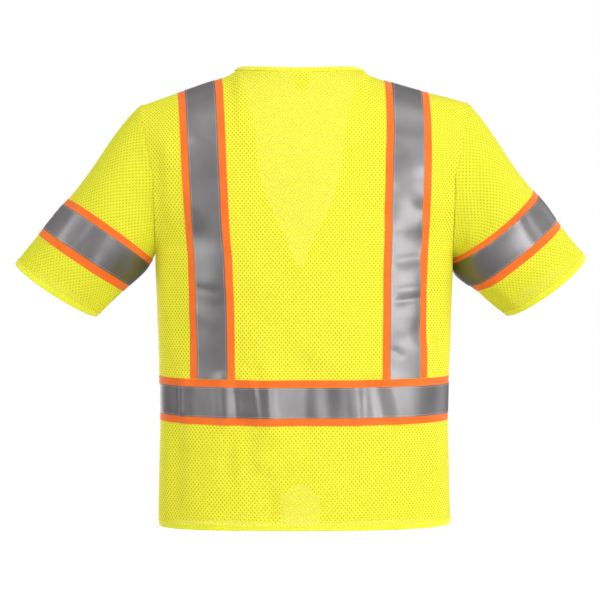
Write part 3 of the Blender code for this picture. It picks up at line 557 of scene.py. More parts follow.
# Brushed tricot contrast tape, dyed fluorescent orange: dense and matt
orangeLook = {
    "colours": ("#fc7d2f", "#f56a1c"), "ribs": (1.0, 1.0), "grain": 1100.0,
    "roughness": (0.70, 0.85), "bump": 0.25, "weaveShare": 0.6,
    "shader": {"Sheen Weight": 0.10, "Sheen Roughness": 0.5, "Specular IOR Level": 0.25},
}
# Retroreflective tape: glass beads half sunk in aluminium on a cloth backing. Grey with a
# satin gleam that runs along the creases, and a very fine grain from the beads.
silverLook = {
    "colours": ("#7b797a", "#6f6d6e"), "ribs": (0.9, 0.9), "grain": 1600.0,
    "roughness": (0.32, 0.38), "bump": 0.05, "weaveShare": 0.5,
    "shader": {"Metallic": 0.75, "Specular Tint": (0.35, 0.35, 0.35, 1)},
}
# Satin-woven label with nothing on it
labelLook = {
    "colours": ("#eeeb58", "#dedb40"), "ribs": (0.8, 0.8), "grain": 900.0,
    "roughness": (0.5, 0.6), "bump": 0.2, "weaveShare": 0.7,
    "shader": {"Sheen Weight": 0.1, "Specular IOR Level": 0.4},
}
# Woven polyester tape of the zip
zipTapeLook = {
    "colours": ("#ecef3a", "#d5db26"), "ribs": (1.0, 0.8), "grain": 900.0,
    "roughness": (0.65, 0.78), "bump": 0.35, "weaveShare": 0.9,
    "shader": {"Sheen Weight": 0.1, "Specular IOR Level": 0.3},
}


# Moulded acetal of the zip's teeth, slider and pull: smooth with a satin skin, faint flow marks
def acetalPattern(tree):
    spot = addNode(tree, "TexCoord").outputs["Object"]
    marks = addNode(tree, "TexNoise", {"Vector": spot, "Scale": 260.0, "Detail": 3.0})
    light, shade = linear("#e6ec30"), linear("#d6df22")
    colour = addNode(tree, "Mix", {"Factor": marks, 6: light, 7: shade}, data_type="RGBA")
    rough = addNode(tree, "MapRange", {"Value": marks, "To Min": 0.32, "To Max": 0.5})
    bump = addNode(tree, "Bump", {"Strength": 0.08, "Distance": 0.0002, "Height": marks})
    return addNode(tree, "BsdfPrincipled",
                   {"Base Color": colour.outputs[2], "Roughness": rough, "Normal": bump, "IOR": 1.48})


# Twisted polyester sewing thread: a strand with a slight sheen, in the colour of what it sews
def threadPattern(tree, colour):
    spot = addNode(tree, "TexCoord").outputs["Object"]
    twist = addNode(tree, "TexNoise", {"Vector": spot, "Scale": 1800.0, "Detail": 1.0})
    bump = addNode(tree, "Bump", {"Strength": 0.3, "Distance": 0.0001, "Height": twist})
    return addNode(tree, "BsdfPrincipled",
                   {"Base Color": linear(colour), "Roughness": 0.55, "Normal": bump, "Sheen Weight": 0.1})


meshMade = {name: makeMaterial("polyesterTricotMesh" + name, meshPattern, *look)
            for name, look in meshFaces.items()}
backCloth = [meshMade["Outside"], meshMade["BackInsidePaintedShade"]]
frontCloth = [meshMade["Outside"], meshMade["FrontInsidePaintedShade"]]
sleeveFabric = [meshMade["Sleeve"], meshMade["SleeveInsidePaintedShade"]]
bindingCloth = [makeMaterial("wovenPolyesterBinding", tapePattern, bindingLook)]
orangeCloth = [makeMaterial("brushedTricotTape", tapePattern, orangeLook)]
silverCloth = [makeMaterial("glassBeadRetroreflector", tapePattern, silverLook)]
labelCloth = [makeMaterial("satinWovenLabel", tapePattern, labelLook)]
zipCloth = [makeMaterial("wovenZipTape", tapePattern, zipTapeLook)]
zipPlastic = [makeMaterial("mouldedAcetal", acetalPattern)]
threads = {"lime": "#eef02e", "orange": "#ff7434", "silver": "#b9b8bc"}
threads = {name: [makeMaterial(name + "Thread", threadPattern, colour)] for name, colour in threads.items()}
print("materials made")


bindingCut = {"width": 0.0095, "half": 0.00115, "leaf": 0.0004, "round": 9, "stitchIn": 0.0018}
# edge of a front and seam of its binding, away from the middle: the notch below the armpit's
# level, with where its binding ends under the zip, and the V neck above it
notchCut = {
    "edgeHeight": [-0.805, -0.7460, -0.7260, -0.344], "edge": [0.0360, 0.0360, 0.0055, 0.0055],
    "seamHeight": [-0.805, -0.7410, -0.7160, -0.344], "seam": [0.0455, 0.0455, 0.0075, 0.0075],
    "ends": {"edge": 0.0055, "seam": 0.0060},
}
neckline = {
    "height": [-0.344, -0.293, -0.243, -0.173, -0.085, 0.002],
    "edge": [0.0055, 0.0250, 0.0505, 0.0736, 0.0835, neckCut["edge"]["half"]],
    "seam": [0.0150, 0.0355, 0.0608, 0.0832, 0.0930, neckCut["seam"]["half"]],
}
panelLook = {
    "step": 0.0048, "between": (0.0004, -0.0004),      # along the cloth, and its two sides, in metres
    "tuck": 0.35,                # of the way from seam to edge that is tucked into the binding
    "pastHem": 0.008,            # levels past the seam of the hem
    "fade": 0.008,               # levels over which the tuck ends beside the zip
    "lengths": [0.047, 0.020, 0.382],                  # hem to the notch's shoulder, its top and the armpit
    "columns": {back: 121, front: 62},
}
# lengths of the cloth in metres from the armpit's level to the yoke's and on to the shoulder
armpitToTop = [0.150, 0.270]
hemSeam = levelOf(bodyCut["hem"] + bindingCut["width"])
notchShoulder, notchTop = levelOf(notchCut["edgeHeight"][1]), levelOf(notchCut["edgeHeight"][2])


# place across of one of a front's lines, found from the height of the cloth
def frontLine(side, level, name):
    low = np.interp(bodyCut["hem"] + bodyTall * level, notchCut[name + "Height"], notchCut[name])
    across = np.zeros_like(level)
    for _ in range(12):
        high = through(bodySurface(front, across, level)[..., 2], neckline["height"], neckline[name])
        across = acrossAt(front, side * np.where(level > 1, high, low), level)
    return across


# levels from one place to the next, evenly spaced at about the step
def levelRun(places, lengths, step):
    runs = [np.linspace(first, last, max(2, round(length / step)) + 1)[:-1]
            for first, last, length in zip(places, places[1:], lengths)]
    return np.concatenate(runs + [[places[-1]]])


panelLevels = levelRun([hemSeam - panelLook["pastHem"], notchShoulder, notchTop, 1.0, 2.0, 3.0],
                       panelLook["lengths"] + armpitToTop, panelLook["step"])


# where a panel's points lie on its flat cloth: across is the level length out from the middle,
# and past the yoke that of the yoke row at the same x; up is the height, and past the yoke the
# length of the curve round the shoulder
def panelPlaces(points):
    middle = np.argmin(np.abs(points[0, :, 0]))
    across = runningLength(points, 1, (0, 1)) * np.sign(points[0, -1, 0] - points[0, 0, 0])
    across = across - across[:, middle:middle + 1] + points[:, middle:middle + 1, 0]
    yoke = np.searchsorted(panelLevels, 2.0)
    order = np.argsort(points[yoke, :, 0])
    x, length = points[yoke, order, 0], across[yoke, order]
    beyond = points[yoke:, :, 0] - np.clip(points[yoke:, :, 0], x[0], x[-1])
    across[yoke:] = np.interp(points[yoke:, :, 0], x, length) + beyond
    up = points[..., 2].copy()
    up[yoke:] = points[yoke, :, 2] + runningLength(points[yoke:], 0, (1, 2))
    return np.stack([across, up], -1)


# a panel of mesh from its grid, with its area: half the cross products of the grid's diagonals
def makePanel(name, solid, grid, materials, flatPlaces, wrap=False):
    points = grid[0]
    attach(clothObject(name, grid, panelLook["between"], materials, wrap, flatPlaces), [solid])
    crossed = np.cross(points[1:, 1:] - points[:-1, :-1], points[1:, :-1] - points[:-1, 1:])
    print(name, round(float(np.linalg.norm(crossed, axis=-1).sum()) / 2, 3), "square metres")


# rows of the body's surface from side seam to side seam, and one more row tucked into the neck
def makeBack():
    across = np.linspace(-1, 1, panelLook["columns"][back])[None]
    points, normals = bodyCloth(back, across, panelLevels[:, None])
    share = points[-1, :, 0] / neckCut["seam"]["half"]
    edge = np.where((np.abs(share) < 1)[:, None], neckCurve("edge", share), points[-1])
    points = np.concatenate([points, points[-1:] + (edge - points[-1:]) * panelLook["tuck"]])
    normals = np.concatenate([normals, normals[-1:]])
    makePanel("backMesh", "back_panel", (points, normals), backCloth, panelPlaces(points))


# rows from the tucked line beside the binding to the side seam; beside the zip, which has no
# binding, they start at the edge itself
def makeFront(side, name):
    edge, seam = (frontLine(side, panelLevels, line) for line in ("edge", "seam"))
    tucked = seam + (edge - seam) * panelLook["tuck"]
    beside = (panelLevels > notchTop) & (panelLevels < 1)
    above, below = ((panelLevels - notchTop) / panelLook["fade"], (1 - panelLevels) / panelLook["fade"])
    bare = ease(above + 0.5) * ease(below + 0.5)
    inner = np.where(beside, tucked + (edge - tucked) * bare, tucked)[:, None]
    share = np.linspace(0, 1, panelLook["columns"][front])[None]
    grid = bodyCloth(front, inner + (side - inner) * share, panelLevels[:, None])
    makePanel("frontMesh" + name, "front_" + name.lower(), grid, frontCloth, panelPlaces(grid[0]))


makeBack()
for side, name in sideNames.items():
    makeFront(side, name)
print("panels made")

# Rings from the top of the tape to the cuff, by distance to the cuff: the outer and the under
# point seen from behind, the middle and half depth from front to back, and the ring's lean
sleeveCut = {
    "toCuff": [0.000, 0.063, 0.110, 0.141],
    left: {
        "outerX": [0.4940, 0.4545, 0.4250, 0.4050], "outerZ": [-0.3405, -0.2905, -0.2532, -0.2300],
        "underX": [0.3560, 0.3082, 0.2720, 0.2580], "underZ": [-0.4325, -0.3885, -0.3545, -0.3345],
        "y": [0.008, 0.004, 0.002, 0.000], "halfDepth": [0.0740, 0.0790, 0.0825, 0.0850],
        "lean": [4.5, 0.0, -3.0, -5.0],
    },
    right: {
        "outerX": [0.5030, 0.4565, 0.4285, 0.4075], "outerZ": [-0.3268, -0.2722, -0.2345, -0.2120],
        "underX": [0.3670, 0.3100, 0.2700, 0.2690], "underZ": [-0.4310, -0.3870, -0.3545, -0.3300],
        "y": [-0.040, -0.028, -0.021, -0.016], "halfDepth": [0.0740, 0.0790, 0.0825, 0.0850],
        "lean": [9.0, 7.0, 7.0, 7.0],
    },
    "capPull": 0.34, "capOut": {left: 0.22, right: 0.17}, "underOut": 0.0022,
    "capLength": 0.150,          # metres from the armhole to the tape
    "columns": 116, "foldWidth": 1.4,                  # mm of cloth to a degree round the ring
}
tapeTop = sleeveCut["toCuff"][-1]
# Folds of the sleeves: angle round it in degrees (0 outer, 90 behind, 180 under) and distance to
# the cuff at both ends of the fold, half width and depth, the lengths in millimetres
sleeveFolds = {
    left: [
        (150, 18, 128, 120, 11, -2.6), (128, 10, 108, 90, 13, 1.8), (172, 0, 162, 60, 10, 2.2),
        (96, 50, 70, 150, 16, -1.6), (60, 66, 50, 140, 13, 1.8), (112, 150, 90, 250, 18, -2.6),
        (70, 150, 62, 262, 20, 1.8), (134, 150, 122, 230, 12, 2.2), (30, 30, 36, 150, 18, -1.4),
        (230, 10, 214, 120, 14, -2.4), (262, 40, 250, 160, 15, 1.8), (300, 60, 290, 230, 18, -1.8),
        (240, 150, 226, 240, 14, 2.0), (330, 20, 326, 140, 16, 1.4), (84, 62, 80, 142, 8, 1.7),
    ],
    right: [
        (160, 4, 146, 70, 9, -2.8), (140, 0, 132, 62, 10, 2.0), (176, 8, 168, 60, 9, 2.2),
        (134, 40, 122, 146, 36, 6.6), (74, 62, 66, 142, 14, 0.9), (66, 60, 60, 144, 10, -1.7),
        (110, 150, 88, 250, 18, -2.6), (64, 150, 60, 260, 20, 1.8), (138, 150, 124, 225, 12, 2.0),
        (36, 30, 30, 150, 18, 1.5), (226, 10, 212, 120, 14, -2.4), (258, 40, 246, 160, 15, 1.8),
        (298, 60, 290, 230, 18, -1.8), (242, 150, 228, 240, 14, 2.0), (334, 20, 328, 140, 16, 1.4),
    ],
}


# a ring is an ellipse through its outer and under points, leaning out of the plane between them
def sleeveRing(side, toCuff, angle):
    value = {name: through(toCuff, sleeveCut["toCuff"], values) for name, values in sleeveCut[side].items()}
    outer, under = (np.stack([side * value[part + "X"], value["y"], value[part + "Z"]], -1)
                    for part in ("outer", "under"))
    reach = (outer - under) / 2
    down = unit(np.stack([reach[..., 2], 0 * reach[..., 0], -reach[..., 0]], -1) * side)
    lean = np.radians(value["lean"])[..., None]
    depth = value["halfDepth"][..., None] * (np.array([0, 1, 0]) * np.cos(lean) + down * np.sin(lean))
    return (outer + under) / 2 + np.cos(angle)[..., None] * reach + np.sin(angle)[..., None] * depth


# down the sleeve from 0 at the armhole to 1 at the top of the tape each line is a cubic that
# leaves the armhole outwards and joins the rings; from 1 to 2 the rings run on to the cuff
def sleeveSurface(side, angle, down):
    angle, down = np.broadcast_arrays(angle, down)
    behind, level = (angle <= np.pi)[..., None], np.abs(2 - 2 * angle / np.pi) + 1
    start = np.where(behind, bodySurface(back, side, level), bodySurface(front, side, level))
    top, below = (sleeveRing(side, at, angle) for at in (tapeTop, tapeTop - 0.02))
    length = np.linalg.norm(top - start, axis=-1, keepdims=True)
    high, outwards = ((1 + np.cos(angle)) / 2)[..., None], np.array([side, 0, 0])
    leave = unit(unit(top - start) + sleeveCut["capOut"][side] * high ** 2 * outwards)
    start = start + outwards * sleeveCut["underOut"] * (1 - high) ** 2
    first = start + leave * length * sleeveCut["capPull"]
    second = top - unit(below - top) * length * sleeveCut["capPull"]
    v = np.clip(down, 0, 1)[..., None]
    cap = start * (1 - v) ** 3 + 3 * first * (1 - v) ** 2 * v + 3 * second * (1 - v) * v ** 2 + top * v ** 3
    tube = sleeveRing(side, tapeTop * np.clip(2 - down, 0, 1), angle)
    return np.where((down < 1)[..., None], cap, tube)


# points and normals of whole rings of the folded sleeve, each begun and ended at the underarm,
# raised beside the armhole seam and level on it
def sleeveGrid(side, columnCount, down):
    angle, down = (np.linspace(-np.pi, np.pi, columnCount + 1) % (2 * np.pi))[None], down[:, None]
    points = sleeveSurface(side, angle, down)
    centre = points.mean(1, keepdims=True)
    tube, fromSeam, turned = tapeTop / mm, down * sleeveCut["capLength"] / mm, np.degrees(angle)
    toCuff = np.where(down < 1, tube + (1 - down) * sleeveCut["capLength"] / mm, tube * (2 - down))
    shift = 0.4 * np.sin(turned / 23 + toCuff / 37) + 0.3 * np.sin(toCuff / 19 - turned / 31 + 1)
    for topAngle, topTo, footAngle, footTo, halfWidth, depth in sleeveFolds[side]:
        along = (toCuff - topTo) / (footTo - topTo)
        aside = (turned - topAngle - (footAngle - topAngle) * along + 180) % 360 - 180
        shift = shift + depth * foldBell(along, aside * sleeveCut["foldWidth"], halfWidth, 0.35, 0.2)
    shift = shift * ease(fromSeam / 14) + 0.8 * seamRoll(fromSeam)
    points = points + gridNormals(points, centre, True) * (shift * mm)[..., None]
    return points, gridNormals(points, centre, True)


# where a sleeve's points lie on its flat cloth: across is the length round the ring at the top of
# the tape, and up the distance along the sleeve's middle line
def sleevePlaces(points, side):
    ring = sleeveRing(side, tapeTop, np.linspace(-np.pi, np.pi, points.shape[1]))[None]
    runs = {name: values[0] - values[-1] for name, values in sleeveCut[side].items()}
    run = [side * (runs["outerX"] + runs["underX"]), 0, runs["outerZ"] + runs["underZ"]]
    up = points @ unit(np.array(run))
    return np.stack([runningLength(ring, 1) + 0 * up, up], -1)


cuffSeamAt, sleeveTapeEnd = 2 - bindingCut["width"] / tapeTop, 2 - sleeveCut["toCuff"][1] / tapeTop
for side, name in sideNames.items():
    down = np.concatenate([np.linspace(0, 1, 34)[:-1], np.linspace(1, cuffSeamAt + 0.022, 32)])
    grid = sleeveGrid(side, sleeveCut["columns"], down)
    places = sleevePlaces(grid[0], side)
    makePanel("sleeveMesh" + name, "sleeve_" + name.lower(), grid, sleeveFabric, places, True)
print("sleeves made")

# half widths, the two sides of each tape away from the mesh, rows across it and the edge stitching
tapeCut = {
    "orange": {"half": 0.0381, "between": (0.0011, 0.0006), "rows": 15, "solid": "tape"},
    "silver": {"half": 0.0254, "between": (0.0018, 0.0013), "rows": 12, "solid": "silver"},
    "cloth": {"orange": orangeCloth, "silver": silverCloth},
    "step": 0.0030,
    "waistToArmpit": 0.195,                          # metres of cloth from the waist tape to the armpit
    "waistHeight": -0.57695,
    "waistLift": {left: 0.0028, right: 0.0016},      # how much higher it lies at the side seams
    "waistEnd": 0.0057,                              # from the middle of the front to its cut end
    "stitchIn": 0.0022,
}
# Middle line of the shoulder tapes, away from the middle of the vest, by level
braceLine = {
    "level": [0.00, 0.56, 1.28, 2.35, 3.00],
    (back, left): [0.1467, 0.1467, 0.1530, 0.1646, 0.1761],
    (back, right): [0.1765, 0.1765, 0.1792, 0.1837, 0.1843],
    (front, left): [0.1480, 0.1500, 0.1560, 0.1680, 0.1761],
    (front, right): [0.1640, 0.1660, 0.1710, 0.1800, 0.1843],
}


# the waist tape as one run from the left front's edge round the back to the right front's edge,
# with its rows between two heights
def waistGrid(half, rowCount):
    middle = levelOf(tapeCut["waistHeight"])
    level = middle + np.linspace(-half, half, rowCount)[:, None] / bodyTall
    ends = {side: acrossAt(front, side * tapeCut["waistEnd"], level) for side in sideNames}
    parts = ((front, ends[left], 1, 96, slice(-1)), (back, 1, -1, 210, slice(211)),
             (front, -1, ends[right], 96, slice(1, 97)))
    runs, nudge = [], 0.04
    for face, first, last, count, kept in parts:
        across = first + (last - first) * np.linspace(0, 1, count + 1)[None]
        above, below = (bodySurface(face, across, middle + step)[..., 2] for step in (nudge, -nudge))
        lift = bySide(tapeCut["waistLift"], across) * np.abs(across) ** 3
        rise = (level - middle) * bodyTall + lift
        points = bodySurface(face, across, middle + rise * 2 * nudge / (above - below))
        shift = foldDepth(face, points) * besideSeam(across)
        runs.append((points + gridNormals(points) * shift[..., None])[:, kept])
    points = np.concatenate(runs, 1)
    return points, gridNormals(points)


# a shoulder tape as one run from the waist tape up the back, over the shoulder and down the front
def braceGrid(side, half, columnCount):
    start = levelOf(tapeCut["waistHeight"] + tapeCut["orange"]["half"])
    level = levelRun([start, 1.0, 2.0, 3.0], [tapeCut["waistToArmpit"]] + armpitToTop, tapeCut["step"])
    runs = []
    for face in (back, front):
        middle = through(level, braceLine["level"], braceLine[face, side])
        x = side * (middle[:, None] + np.linspace(-half, half, columnCount)[None])
        runs.append(clothAt(face, x, level[:, None])[0])
    points = np.concatenate([runs[0], runs[1][::-1][1:]])
    return points, gridNormals(points)


# a sleeve's tape: its rings lie evenly between the ends of the tape, narrower for the silver
def sleeveTapeGrid(side, half, rowCount):
    middle, share = (1 + sleeveTapeEnd) / 2, half / tapeCut["orange"]["half"] * (sleeveTapeEnd - 1) / 2
    return sleeveGrid(side, 130, np.linspace(middle - share, middle + share, rowCount))


stitchCut = {"pitch": 0.0034, "length": 0.0026, "radius": 0.00028, "above": 0.00008}
stitchLines = {"lime": [], "orange": [], "silver": []}


# one tape with its two lines of stitches, each a share of a row in from a long edge
def makeTape(part, solid, layer, grid):
    cut = tapeCut[layer]
    cloth, wrap = tapeCut["cloth"][layer], part.startswith("sleeve")
    made = clothObject(part + layer.capitalize(), grid, cut["between"], cloth, wrap)
    attach(made, [solid])
    points, normals = (np.swapaxes(v, 0, 1) if part.startswith("brace") else v for v in grid)
    share = tapeCut["stitchIn"] / (2 * cut["half"]) * (cut["rows"] - 1)
    out = cut["between"][0] + stitchCut["above"]
    for edge, inner in ((0, 1), (-1, -2)):
        line = points[edge] + (points[inner] - points[edge]) * share + normals[edge] * out
        stitchLines[layer].append((line, normals[edge]))


for layer in ("orange", "silver"):
    half, rows, solid = (tapeCut[layer][name] for name in ("half", "rows", "solid"))
    makeTape("waist", "waist_" + solid, layer, waistGrid(half, rows))
    for side, name in sideNames.items():
        makeTape("brace" + name, f"brace_{solid}_{name.lower()}", layer, braceGrid(side, half, rows))
        makeTape("sleeve" + name, f"sleeve_{solid}_{name.lower()}", layer, sleeveTapeGrid(side, half, rows))
print("tapes made")


# a folded strip round an edge: an outer and an inner contour of the same U, carried along the
# edge; each contour is a leaf, a half circle past the edge and the other leaf
def makeBinding(name, solid, edge, seam, centre, wrap=False):
    half, leaf = bindingCut["half"], [1.0, 0.66, 0.33]
    middle, reach = (edge + seam) / 2, seam - edge
    normals = turnedOut(unit(np.cross(slopeAlong(middle, 0, wrap), reach)), middle, centre, -1)
    width = np.linalg.norm(reach, axis=-1)
    turn = np.linspace(np.pi / 2, -np.pi / 2, bindingCut["round"])
    inwards = np.concatenate([leaf, 0 * turn, leaf[::-1]])[:, None]
    contours = []
    for radius in (half, half - bindingCut["leaf"]):
        out = np.pad(radius * np.cos(turn), 3)[:, None]
        up = np.pad(radius * np.sin(turn), 3, "edge")[:, None, None]
        distance = half + (width - half) * inwards - out
        contours.append(edge + unit(reach) * distance[..., None] + normals * up)
    attach(sheetObject(name, *contours, bindingCloth, wrap), [solid])
    stitchAt = edge + unit(reach) * (width - bindingCut["stitchIn"])[:, None]
    stitchLines["lime"].append((stitchAt + normals * (half + stitchCut["above"]), normals))
    print(name, round(float(np.linalg.norm(np.diff(middle, axis=0), axis=-1).sum()), 3), "metres")


# a row of the body between two places across or up, with the cloth's folds
def bodyPath(face, across, level):
    across, level = np.broadcast_arrays(across, level)
    points, step = bodySurface(face, across, level), 0.003
    slopeAcross = bodySurface(face, across + step, level) - bodySurface(face, across - step, level)
    above, below = np.minimum(level + step, 3), np.maximum(level - step, 0)
    slopeUp = bodySurface(face, across, above) - bodySurface(face, across, below)
    normals = turnedOut(unit(np.cross(slopeAcross, slopeUp)), points, bodyCentre, -1)
    return points + normals * foldDepth(face, points)[..., None]


# along the hem from one side of the zip's foot to the other: down the notch's slope and side,
# round its corner, along the front hem, round the back and the same again
def hemLines():
    behind, lines = np.linspace(1, -1, 150)[1:-1], []
    for name, foot in (("edge", 0.0), ("seam", hemSeam)):
        shoulder, top = (levelOf(height) for height in notchCut[name + "Height"][1:3])
        wide, parts = notchCut[name][1], []
        x = np.concatenate([np.linspace(notchCut["ends"][name], wide, 14), np.full(9, wide)])
        slope, upright = np.linspace(top, shoulder, 14), np.linspace(shoulder, hemSeam, 9)[1:]
        level = np.concatenate([slope, upright, [foot]])
        for side in sideNames:
            corner = acrossAt(front, [side * notchCut["seam"][1]], hemSeam)
            run = corner + (side - corner) * np.linspace(0, 1, 70)[1:]
            parts.append(np.concatenate([bodyPath(front, acrossAt(front, side * x, level), level),
                                         bodyPath(front, run, foot)]))
        lines.append(np.concatenate([parts[0], bodyPath(back, behind, foot), parts[1][::-1]]))
    return lines


# up one side of the V, round the back of the neck on two half ellipses, and down the other side
def neckLines():
    level, lines = levelRun([1.0, 2.0, 3.0], armpitToTop, 0.004), []
    share = np.cos(np.linspace(0, np.pi, 62))[1:-1]
    for name in ("edge", "seam"):
        up, down = (bodyPath(front, frontLine(side, level, name), level) for side in sideNames)
        curve, z = neckCurve(name, share), neckCut[name]["z"]
        curve[:, 2] += share ** 8 * (down[-1, 2] + (up[-1, 2] - down[-1, 2]) * ease((1 + share) / 2) - z)
        lines.append(np.concatenate([up, curve, down[::-1]]))
    return lines


makeBinding("hemBinding", "hem_binding", *hemLines(), bodyCentre)
makeBinding("neckBinding", "neck_binding", *neckLines(), bodyCentre)
for side, name in sideNames.items():
    rings = np.array([cuffSeamAt - 0.02, cuffSeamAt, 2.0])
    _, seam, edge = sleeveGrid(side, sleeveCut["columns"], rings)[0]
    makeBinding("cuffBinding" + name, "cuff_binding_" + name.lower(), edge, seam, edge.mean(0), True)
print("bindings made")

# blank label: a strip of the back's cloth moved inside, its free end curling away
labelCut = {"left": 0.0101, "right": -0.0163, "top": 2.985, "foot": 2.775, "behind": 0.0013, "curl": 0.0012}
level = np.linspace(labelCut["top"], labelCut["foot"], 16)[:, None]
points, normals = clothAt(back, np.linspace(labelCut["right"], labelCut["left"], 10)[None], level)
fall = np.linspace(0, 1, 16)[:, None, None]
points = points - normals * (labelCut["behind"] + labelCut["curl"] * fall ** 2)
label = clothObject("neckLabel", (points, normals), (0.0, -0.0003), labelCloth)
attach(label, ["neck_label"])
print("label made")

zipCut = {
    "tape": (0.0020, 0.0150), "tapeTop": -0.3445, "tapeFoot": -0.7240, "between": (-0.0009, -0.0014),
    "chainTop": -0.3535, "chainFoot": -0.7250, "pitch": 0.0026, "slider": -0.3475,
    "stitchFrom": 0.0092, "stitchTop": -0.348, "stitchFoot": -0.721,
}
for side, name in sideNames.items():
    level = levelOf(np.linspace(zipCut["tapeFoot"], zipCut["tapeTop"], 120))[:, None]
    grid = clothAt(front, side * np.linspace(*zipCut["tape"], 7)[None], level)
    strip = clothObject("zipTape" + name, grid, zipCut["between"], zipCloth)
    attach(strip, ["zip_tape_" + name.lower()])


# points on the front's middle at the listed heights
def zipMiddle(height):
    level = levelOf(height)
    return bodySurface(front, acrossAt(front, 0.0, level), level)


# four-cornered faces between rings of points, by their numbers
def ringFaces(index):
    turned = np.roll(index, -1, 1)
    return np.stack([index[:-1], turned[:-1], turned[1:], index[1:]], -1).reshape(-1, 4)


# copies of a small bar of four-cornered rings, given as bars, rings, corners and x y z
def barForm(bars):
    index = np.arange(bars.shape[1] * 4).reshape(-1, 4)
    faces = np.concatenate([ringFaces(index), [index[0, ::-1]], [index[-1]]])
    starts = np.arange(len(bars))[:, None, None] * index.size
    return bars.reshape(-1, 3), (faces + starts).reshape(-1, 4)


# several closed forms as one object, each turned the right way
def joinForms(name, forms, materials, sharpAngle):
    starts = np.cumsum([0] + [len(points) for points, _ in forms])
    faces = [(faces if facingOut(points, faces) else faces[:, ::-1]) + start
             for (points, faces), start in zip(forms, starts)]
    points = np.concatenate([points for points, _ in forms])
    return makeObject(name, points, np.concatenate(faces), materials, sharpAngle=sharpAngle)


# a tooth is a rectangle carried from its root to its tip, narrow at the neck and wide at the head
toothShape = {
    "out": [0.0028, 0.0014, 0.0007, -0.0001, -0.0007],     # distance from the zip's middle
    "tall": [0.00080, 0.00062, 0.00050, 0.00088, 0.00060],
    "deep": [0.00085, 0.00095, 0.00095, 0.00100, 0.00080],
}


# two rows of the same tooth up the zip, mirrored and half a pitch apart
def makeTeeth():
    height, forms = np.arange(zipCut["chainFoot"], zipCut["chainTop"], zipCut["pitch"]), []
    out, tall, deep = (np.array(toothShape[name])[:, None] for name in ("out", "tall", "deep"))
    square = np.array([(1, 1), (1, -1), (-1, -1), (-1, 1)])
    for side, higher in ((left, zipCut["pitch"] / 2), (right, 0)):
        tooth = np.stack(np.broadcast_arrays(side * out, deep * square[:, 0], tall * square[:, 1]), -1)
        forms.append(barForm(zipMiddle(height + higher)[:, None, None] + tooth))
    return joinForms("zipTeeth", forms, zipPlastic, 30)


attach(makeTeeth(), ["zip_chain"])


# a rounded block: a superellipsoid, cosines and sines raised to a small power
def roundedBlock(centre, half, power, rings=14, columns=24):
    turn = np.linspace(-np.pi / 2, np.pi / 2, rings)[:, None]
    around = np.linspace(0, 2 * np.pi, columns + 1)[:-1][None]

    def bent(v):
        return np.sign(v) * np.abs(v) ** power

    flat = np.where(np.abs(np.abs(turn) - np.pi / 2) < 1e-6, 0, bent(np.cos(turn)))
    x, y, z = flat * bent(np.cos(around)), flat * bent(np.sin(around)), bent(np.sin(turn))
    points = np.stack(np.broadcast_arrays(x, y, z), -1)
    index = np.arange(rings * columns).reshape(rings, columns)
    index[0], index[-1] = index[0, 0], index[-1, 0]
    return points.reshape(-1, 3) * half + np.array(centre), ringFaces(index)


# an oval bar carried along a line: its ring of points lies in the sideways and upwards directions
def bentBar(path, sideways, thick, closed=False, columns=10):
    ring = np.linspace(0, 2 * np.pi, columns + 1)[:-1, None]
    along = unit(np.roll(path, -1, 0) - np.roll(path, 1, 0) if closed else np.gradient(path, axis=0))
    upwards = unit(np.cross(along, sideways))[:, None]
    points = path[:, None] + np.cos(ring) * sideways * thick[0] + np.sin(ring) * upwards * thick[1]
    index = np.arange(len(path) * columns).reshape(len(path), columns)
    if closed:
        return points.reshape(-1, 3), ringFaces(np.concatenate([index, index[:1]]))
    ends = [np.full((1, columns), index.size + k) for k in (0, 1)]
    index = np.concatenate([ends[0], index, ends[1]])
    return np.concatenate([points.reshape(-1, 3), path[:1], path[-1:]]), ringFaces(index)


# blocks are given as their place from the cloth at the slider, their half sizes and their power;
# bridge: its foot and its height away from the cloth, half its length, half width and thickness
sliderCut = {
    "plates": [((0, y, 0), (0.0042, 0.0005, 0.0060), 0.3) for y in (-0.0018, 0.0029)],
    "wedge": [((0, 0.0005, 0.0044), (0.0013, 0.0026, 0.0014), 0.4)],
    "flanges": [((x, -0.0011, -0.0008), (0.00035, 0.0010, 0.0048), 0.4) for x in (-0.0040, 0.0040)],
    "bridge": (0.0020, 0.0031, 0.0049, (0.0008, 0.0005)),
}
# the tab hangs from its hinge: a wire ring, a flat grip and ribs across it
tabCut = {
    "ring": (0.0022, 0.0068, 0.0012, (0.00058, 0.00058)),     # half width, length, corner, wire
    "grip": [((0, 0, -0.0150), (0.0028, 0.0006, 0.0090), 0.3)],
    "ribs": [((0, 0, -0.0125 - step * 0.0028), (0.0021, 0.00085, 0.0006), 0.5) for step in range(4)],
}


# blocks moved to a place
def blocksAt(blocks, spot):
    return [roundedBlock(np.add(centre, spot), half, power) for centre, half, power in blocks]


# two plates joined by a wedge, flanges beside them and a bridge whose arch is a power of a sine
def makeSlider():
    spot = np.array([0, zipMiddle(np.array([zipCut["slider"]]))[0, 1], zipCut["slider"]])
    foot, out, half, thick = sliderCut["bridge"]
    turn = np.linspace(0, np.pi, 19)
    arch = spot + np.stack([0 * turn, -foot - out * np.sin(turn) ** 0.7, half * np.cos(turn)], -1)
    forms = blocksAt(sliderCut["plates"] + sliderCut["wedge"] + sliderCut["flanges"], spot)
    return joinForms("zipSlider", forms + [bentBar(arch, np.array([1, 0, 0]), thick)], zipPlastic, 50)


